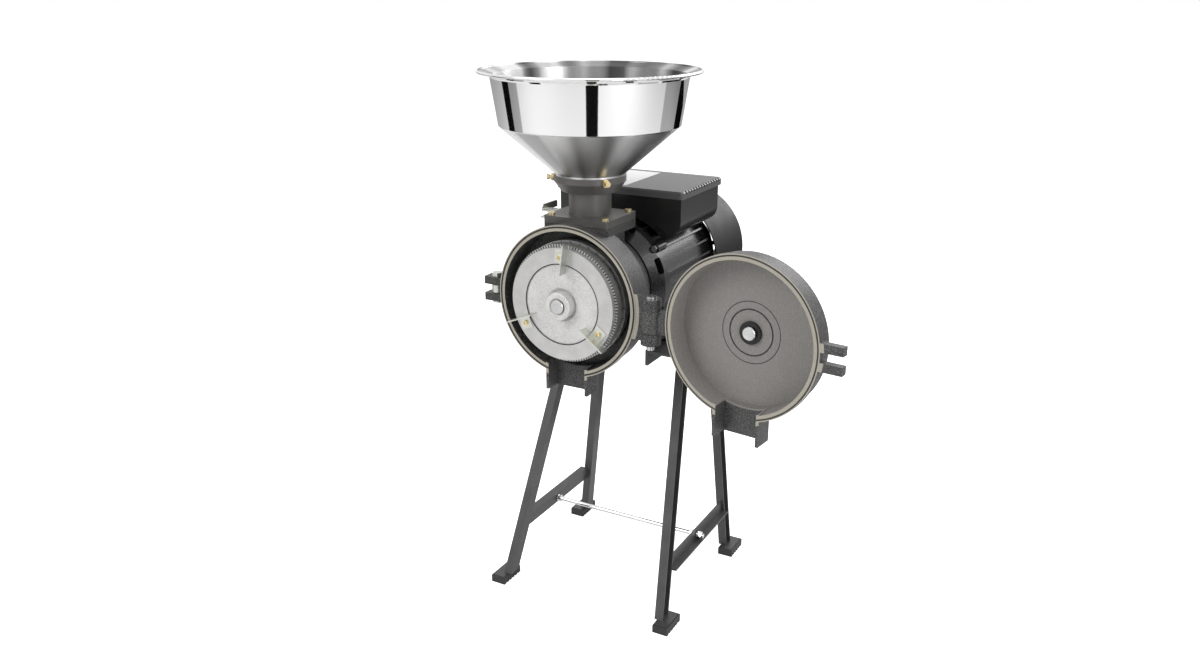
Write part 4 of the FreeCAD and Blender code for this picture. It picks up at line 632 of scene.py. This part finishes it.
@dataclass
class Palette:
    """All finishes of the mill, and which of them each solid wears."""

    hopper: Finish = PolishedSheet("polished_stainless", gray(0.78), 0.05, 1.0)
    throat: Finish = SatinPaint("throat_enamel", gray(0.10, 0.04), 0.4, 0.55, worn=1.25)
    chamber: Finish = HammerPaint("chamber_hammer_paint", gray(0.022), 0.45, shine=0.3,
                                  fleck=gray(0.20, 0.02))
    cover: Finish = HammerPaint("cover_hammer_paint", gray(0.035), 0.48, shine=0.3,
                                fleck=gray(0.22, 0.02), dimple=800.0, depth=0.0002, line=COVER,
                                rim_at=-0.0666, bowl=gray(0.23, 0.05))
    disc: Finish = TurnedMetal("ground_disc", gray(0.54, 0.01), 0.4, 0.7, dull=0.88)
    carrier: Finish = CastMetal("cast_carrier", gray(0.62, 0.01), 0.5, 0.5)
    # Near-black rings laid in gaps and grooves as painted shade.
    seam: Finish = Finish("painted_gap_shade", gray(0.02), 0.7)
    zinc: Finish = CastMetal("zinc_plate", (0.60, 0.61, 0.56), 0.3, 0.85, pits=1400.0,
                             depth=0.00005, dark=0.85)
    brass: Finish = TurnedMetal("brass_screw", (0.74, 0.62, 0.36), 0.28, 1.0)
    steel: Finish = TurnedMetal("turned_steel", gray(0.62), 0.25, 1.0)
    chrome: Finish = TurnedMetal("chromed_rod", gray(0.80), 0.1, 1.0, line=ROD, marks=800.0)
    blued: Finish = TurnedMetal("dark_sleeve", gray(0.03), 0.3, 0.8)
    core: Finish = LaminatedCore("core_plates", gray(0.3), 0.5, 0.8)
    copper: Finish = TurnedMetal("varnished_copper", (0.55, 0.22, 0.09), 0.35, 0.8, marks=1200.0,
                                 depth=0.0003)
    motor: Finish = WrinklePaint("motor_wrinkle_paint", gray(0.008), 0.3, shine=0.35,
                                 wrinkle=420.0, depth=0.0003)
    cowl: Finish = SatinPaint("cowl_satin_paint", gray(0.007), 0.4, shine=0.2, worn=1.2)
    box: Finish = Moulding("box_plastic", gray(0.014), 0.22, depth=0.00002)
    lid: Finish = Moulding("lid_plastic", gray(0.07), 0.36, depth=0.00002)
    plate: Finish = Finish("bare_plate", gray(0.8), 0.35, 0.2)
    rocker: Finish = Moulding("rocker_plastic", (0.35, 0.01, 0.01), 0.25)
    can: Finish = Moulding("capacitor_sleeve", gray(0.75), 0.35)
    frame: Finish = SatinPaint("leg_paint", gray(0.055), 0.36, 0.25, worn=1.35)
    rubber: Finish = Moulding("foot_rubber", gray(0.016), 0.55, grain=900.0, depth=0.0002)

    def wearers(self) -> dict[str, list[str]]:
        """Solids by the finish's field name.

        Returns:
            Node names for each finish.
        """
        return {
            "hopper": ["hopper"],
            "throat": ["throat_adapter", "shaft_seal"],
            "chamber": ["chamber_casting"],
            "cover": ["cover_casting"],
            "disc": ["moving_grinding_disc", "fixed_grinding_disc"],
            "carrier": ["disc_carrier"],
            "zinc": ["slide_gate", "paddles", "swing_bolt", "wing_nut", "latch_washer",
                     "latch_pivot_pin", "lock_nut"],
            "brass": ["throat_screws", "paddle_screws", "hopper_clamp_screws"],
            "steel": ["motor_shaft", "drive_pin", "feed_screw", "disc_spring", "thrust_button",
                      "thrust_pin", "press_screw", "hinge_pin", "fixed_disc_screws",
                      "front_bearing", "rear_bearing", "cowl_screws", "end_shield_bolts",
                      "motor_foot_bolts"],
            "chrome": ["tie_rod", "tie_rod_nuts"],
            "blued": ["press_sleeve", "handwheel"],
            "seam": [],
            "core": ["rotor_core", "stator_core"],
            "copper": ["stator_windings"],
            "motor": ["motor_frame", "front_end_shield", "rear_end_shield"],
            "cowl": ["fan_cowl"],
            "lid": ["capacitor_box_lid"],
            "box": ["capacitor_box", "power_switch_body", "cable_gland", "cooling_fan"],
            "plate": ["bare_label_plate"],
            "rocker": ["power_rocker"],
            "can": ["start_capacitor", "run_capacitor", "terminal_block"],
            "frame": ["left_front_leg", "right_front_leg", "left_rear_leg", "right_rear_leg",
                      "leg_braces", "motor_rails"],
            "rubber": ["rubber_feet"],
        }

    def paint(self, nodes: dict[str, bpy.types.Object]) -> dict[str, bpy.types.Material]:
        """Give every solid its material.

        Args:
            nodes: The mill's solids.

        Returns:
            The materials by field name.
        """
        made = {}
        for kind, names in self.wearers().items():
            made[kind] = getattr(self, kind).make()
            for name in names:
                data = nodes[name].data
                data.materials.clear()
                data.materials.append(made[kind])
            log.info("%s: %d solids", kind, len(names))
        return made


def mesh_object(name: str, shape: bmesh.types.BMesh, material: bpy.types.Material, body: str) -> bpy.types.Object:
    """Turn a mesh under construction into a flat-shaded piece that rides on a body.

    Args:
        name: Name of the piece.
        shape: The mesh, which is freed.
        material: Its material.
        body: Body that carries it.

    Returns:
        The new object.
    """
    bmesh.ops.recalc_face_normals(shape, faces=shape.faces)
    data = bpy.data.meshes.new(name)
    shape.to_mesh(data)
    shape.free()
    data.materials.append(material)
    piece = bpy.data.objects.new(name, data)
    bpy.context.scene.collection.objects.link(piece)
    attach(piece, body)
    return piece


@dataclass
class DiscTeeth:
    """Fine radial teeth round the moving disc's edge."""

    inner: float = 0.0738
    outer: float = 0.0769
    front: float = -0.0694
    back: float = -0.0679
    count: int = 120
    land: float = 0.5

    def build(self, material: bpy.types.Material) -> bpy.types.Object:
        """One wedge-shaped block for each tooth.

        Args:
            material: Finish of the teeth.

        Returns:
            The piece.
        """
        shape = bmesh.new()
        half = math.pi / self.count * self.land
        for i in range(self.count):
            middle = 2 * math.pi * i / self.count
            corners = [shape.verts.new((r * math.cos(a), y, SHAFT_Z + r * math.sin(a)))
                       for y in (self.back, self.front)
                       for r in (self.inner, self.outer)
                       for a in (middle - half, middle + half)]
            for face in ((0, 1, 3, 2), (4, 5, 7, 6), (0, 1, 5, 4),
                         (2, 3, 7, 6), (0, 2, 6, 4), (1, 3, 7, 5)):
                shape.faces.new([corners[k] for k in face])
        return mesh_object("disc_edge_teeth", shape, material, "moving_disc")


@dataclass
class FlatRing:
    """Thin flat ring on a turned face, laid as painted shade in a seam or a shallow groove."""

    name: str
    body: str
    centre: Vector
    facing: Vector
    inner: float
    outer: float
    sides: int = 128

    def build(self, material: bpy.types.Material) -> bpy.types.Object:
        """Ring of flat faces.

        Args:
            material: Finish of the ring.

        Returns:
            The piece.
        """
        up = Vector((0.0, 0.0, 1.0))
        across = self.facing.cross(up).normalized()
        angles = [2 * math.pi * i / self.sides for i in range(self.sides)]
        shape = bmesh.new()
        near, far = ([shape.verts.new(self.centre + across * (r * math.cos(a))
                                      + up * (r * math.sin(a))) for a in angles]
                     for r in (self.inner, self.outer))
        for i in range(self.sides):
            j = (i + 1) % self.sides
            shape.faces.new((near[i], far[i], far[j], near[j]))
        return mesh_object(self.name, shape, material, self.body)


@dataclass
class TurnedMarks:
    """Dark rings on turned faces that are painted shade: between the teeth at their floor, in the carrier's seam,
    in the cover's groove.

    Each floor or face is a place along the shaft, and each band a pair of radii.
    """

    teeth_floor: float = -0.06803
    teeth_band: tuple[float, float] = (0.0736, 0.0769)
    carrier_face: float = -0.07505
    carrier_band: tuple[float, float] = (0.0520, 0.0534)
    cover_floor: float = -0.09495
    cover_band: tuple[float, float] = (0.0373, 0.0383)

    def build(self, material: bpy.types.Material) -> list[bpy.types.Object]:
        """Make the rings, each on the body whose face it marks.

        Args:
            material: Finish of the rings.

        Returns:
            The pieces.
        """
        front = SHAFT.way
        inward = opened(0.0, 1.0) - opened(0.0, 0.0)
        # Each ring is a near-black band of painted shade laid in a gap or groove.
        rings = (
            FlatRing("tooth_gap_shade", "moving_disc", Vector((0.0, self.teeth_floor, SHAFT_Z)),
                     front, *self.teeth_band),
            FlatRing("carrier_gap_shade", "moving_disc", Vector((0.0, self.carrier_face, SHAFT_Z)),
                     front, *self.carrier_band),
            FlatRing("cover_groove_shade", "cover", opened(0.0, self.cover_floor), inward,
                     *self.cover_band))
        return [ring.build(material) for ring in rings]


class Lamp(Enum):
    """Studio lamps: place, aim, width, height, watts."""

    KEY = ((-1.3, -1.9, 2.1), (0.05, 0.0, 0.45), 1.6, 1.6, 42.0)
    FILL = ((2.3, -1.0, 1.3), (0.05, 0.0, 0.45), 1.4, 1.8, 26.0)
    TOP = ((0.1, 0.2, 2.6), (0.05, 0.0, 0.4), 1.8, 1.8, 26.0)
    RIM = ((0.6, 2.2, 1.6), (0.05, 0.0, 0.5), 1.6, 1.2, 22.0)


def matte(name: str, shade: float, rough: float) -> bpy.types.Material:
    """Grey material without gloss, for the stage.

    Args:
        name: Name of the material.
        shade: Its grey.
        rough: Its roughness.

    Returns:
        The new material.
    """
    material = bpy.data.materials.new(name)
    material.use_nodes = True
    shader = material.node_tree.nodes["Principled BSDF"]
    shader.inputs["Base Color"].default_value = (*gray(shade), 1.0)
    shader.inputs["Roughness"].default_value = rough
    shader.inputs["Specular IOR Level"].default_value = 0.0
    return material


def sheet(name: str, corners: list[Color], material: bpy.types.Material) -> bpy.types.Object:
    """One flat face of the stage.

    Args:
        name: Name of the object.
        corners: Its corners in order.
        material: Its material.

    Returns:
        The new object.
    """
    data = bpy.data.meshes.new(name)
    data.from_pydata(corners, [], [tuple(range(len(corners)))])
    data.materials.append(material)
    made = bpy.data.objects.new(name, data)
    bpy.context.scene.collection.objects.link(made)
    return made


@dataclass
class Studio:
    """Camera, pale floor, soft lamps and the dark strips that polished metal mirrors."""

    place: Vector = field(default_factory=lambda: Vector((0.6416, -1.1432, 0.8483)))
    tilt: float = math.radians(71.07)
    turn: float = math.radians(28.75)
    lens: float = 30.93
    sensor: float = 36.0
    sight: float = 60.0
    floor_half: float = 14.0
    floor_shade: float = 0.93
    floor_glow: float = 0.8
    ambient: float = 0.38
    strip_height: float = 0.002
    strip_reach: tuple[float, float] = (0.42, 4.0)

    def camera(self) -> None:
        """Camera at the photograph's place."""
        data = bpy.data.cameras.new("camera")
        data.lens = self.lens
        data.sensor_width = self.sensor
        data.clip_end = self.sight
        cam = bpy.data.objects.new("camera", data)
        cam.location = self.place
        cam.rotation_euler = (self.tilt, 0.0, self.turn)
        bpy.context.scene.collection.objects.link(cam)
        bpy.context.scene.camera = cam

    def world(self) -> None:
        """White where the camera, metal and glass look; softer as a light."""
        world = bpy.data.worlds.new("studio")
        world.use_nodes = True
        tree = world.node_tree
        tree.nodes.clear()
        output = tree.nodes.new("ShaderNodeOutputWorld")
        path = tree.nodes.new("ShaderNodeLightPath")
        either = tree.nodes.new("ShaderNodeMath")
        either.operation = "MAXIMUM"
        tree.links.new(path.outputs["Is Camera Ray"], either.inputs[0])
        tree.links.new(path.outputs["Is Glossy Ray"], either.inputs[1])
        every = tree.nodes.new("ShaderNodeMath")
        every.operation = "MAXIMUM"
        tree.links.new(either.outputs[0], every.inputs[0])
        tree.links.new(path.outputs["Is Transmission Ray"], every.inputs[1])
        light = tree.nodes.new("ShaderNodeBackground")
        light.inputs["Strength"].default_value = self.ambient
        white = tree.nodes.new("ShaderNodeBackground")
        mix = tree.nodes.new("ShaderNodeMixShader")
        for node in (light, white):
            node.inputs["Color"].default_value = (1.0, 1.0, 1.0, 1.0)
        tree.links.new(every.outputs[0], mix.inputs[0])
        tree.links.new(light.outputs[0], mix.inputs[1])
        tree.links.new(white.outputs[0], mix.inputs[2])
        tree.links.new(mix.outputs[0], output.inputs["Surface"])
        bpy.context.scene.world = world

    def floor(self) -> None:
        """Pale floor that keeps the mill's shadow and fades into the white."""
        half = self.floor_half
        material = matte("floor", self.floor_shade, 0.9)
        tree = material.node_tree
        shader = tree.nodes["Principled BSDF"]
        path = tree.nodes.new("ShaderNodeLightPath")
        glow = tree.nodes.new("ShaderNodeMath")
        glow.operation = "MULTIPLY"
        glow.inputs[1].default_value = self.floor_glow
        tree.links.new(path.outputs["Is Camera Ray"], glow.inputs[0])
        shader.inputs["Emission Color"].default_value = (1.0, 1.0, 1.0, 1.0)
        tree.links.new(glow.outputs[0], shader.inputs["Emission Strength"])
        ground = sheet("floor", [(x * half, y * half, 0.0)
                                 for x, y in ((-1, -1), (1, -1), (1, 1), (-1, 1))], material)

    def lamps(self) -> None:
        """Soft rectangular lamps."""
        for lamp in Lamp:
            place, aim, width, height, watts = lamp.value
            data = bpy.data.lights.new(lamp.name.lower() + "_lamp", "AREA")
            data.shape = "RECTANGLE"
            data.size = width
            data.size_y = height
            data.energy = watts
            light = bpy.data.objects.new(data.name, data)
            light.location = place
            light.rotation_euler = (Vector(aim) - Vector(place)).to_track_quat("-Z", "Y").to_euler()
            bpy.context.scene.collection.objects.link(light)

    def strip(self, name: str, angle: float, width: float, shade: float = 0.006) -> None:
        """Dark wedge on the floor that only mirrors see; the hopper shows it as an upright bar.

        Args:
            name: Name of the strip.
            angle: Direction from the mill, in degrees clockwise from the camera's.
            width: Width as an angle, in degrees.
            shade: Its grey.
        """
        middle = math.radians(-90.0) + self.turn + math.radians(-angle)
        half = math.radians(width / 2)
        near, far = self.strip_reach
        corners = [(r * math.cos(middle + side * half), r * math.sin(middle + side * half),
                    self.strip_height)
                   for r, side in ((near, -1), (far, -1), (far, 1), (near, 1))]
        piece = sheet(name, corners, matte(name, shade, 1.0))
        for ray in ("camera", "diffuse", "transmission", "shadow"):
            setattr(piece, "visible_" + ray, False)

    def strips(self) -> None:
        """Dark strips towards the camera and at the sides, with a paler one next to each."""
        self.strip("strip_camera", -3.0, 14.0)
        self.strip("strip_right", 112.0, 13.0)
        self.strip("strip_right_soft", 98.0, 15.0, shade=0.45)
        self.strip("strip_left", -140.0, 20.0)
        self.strip("strip_left_soft", -112.0, 30.0, shade=0.5)

    def build(self) -> None:
        """Make everything round the mill."""
        self.camera()
        self.world()
        self.floor()
        self.lamps()
        self.strips()


def main() -> None:
    """Dress the mill and light it."""
    logging.basicConfig(level=logging.INFO, format="%(name)s: %(message)s")
    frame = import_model()
    studio = Studio()
    studio.build()
    bpy.context.scene.view_settings.view_transform = "Standard"
    materials = Palette().paint(frame["nodes"])
    teeth = DiscTeeth().build(materials["disc"])
    for piece in (teeth, *TurnedMarks().build(materials["seam"])):
        log.info("%s: %d faces", piece.name, len(piece.data.polygons))


if __name__ == "__main__":
    main()
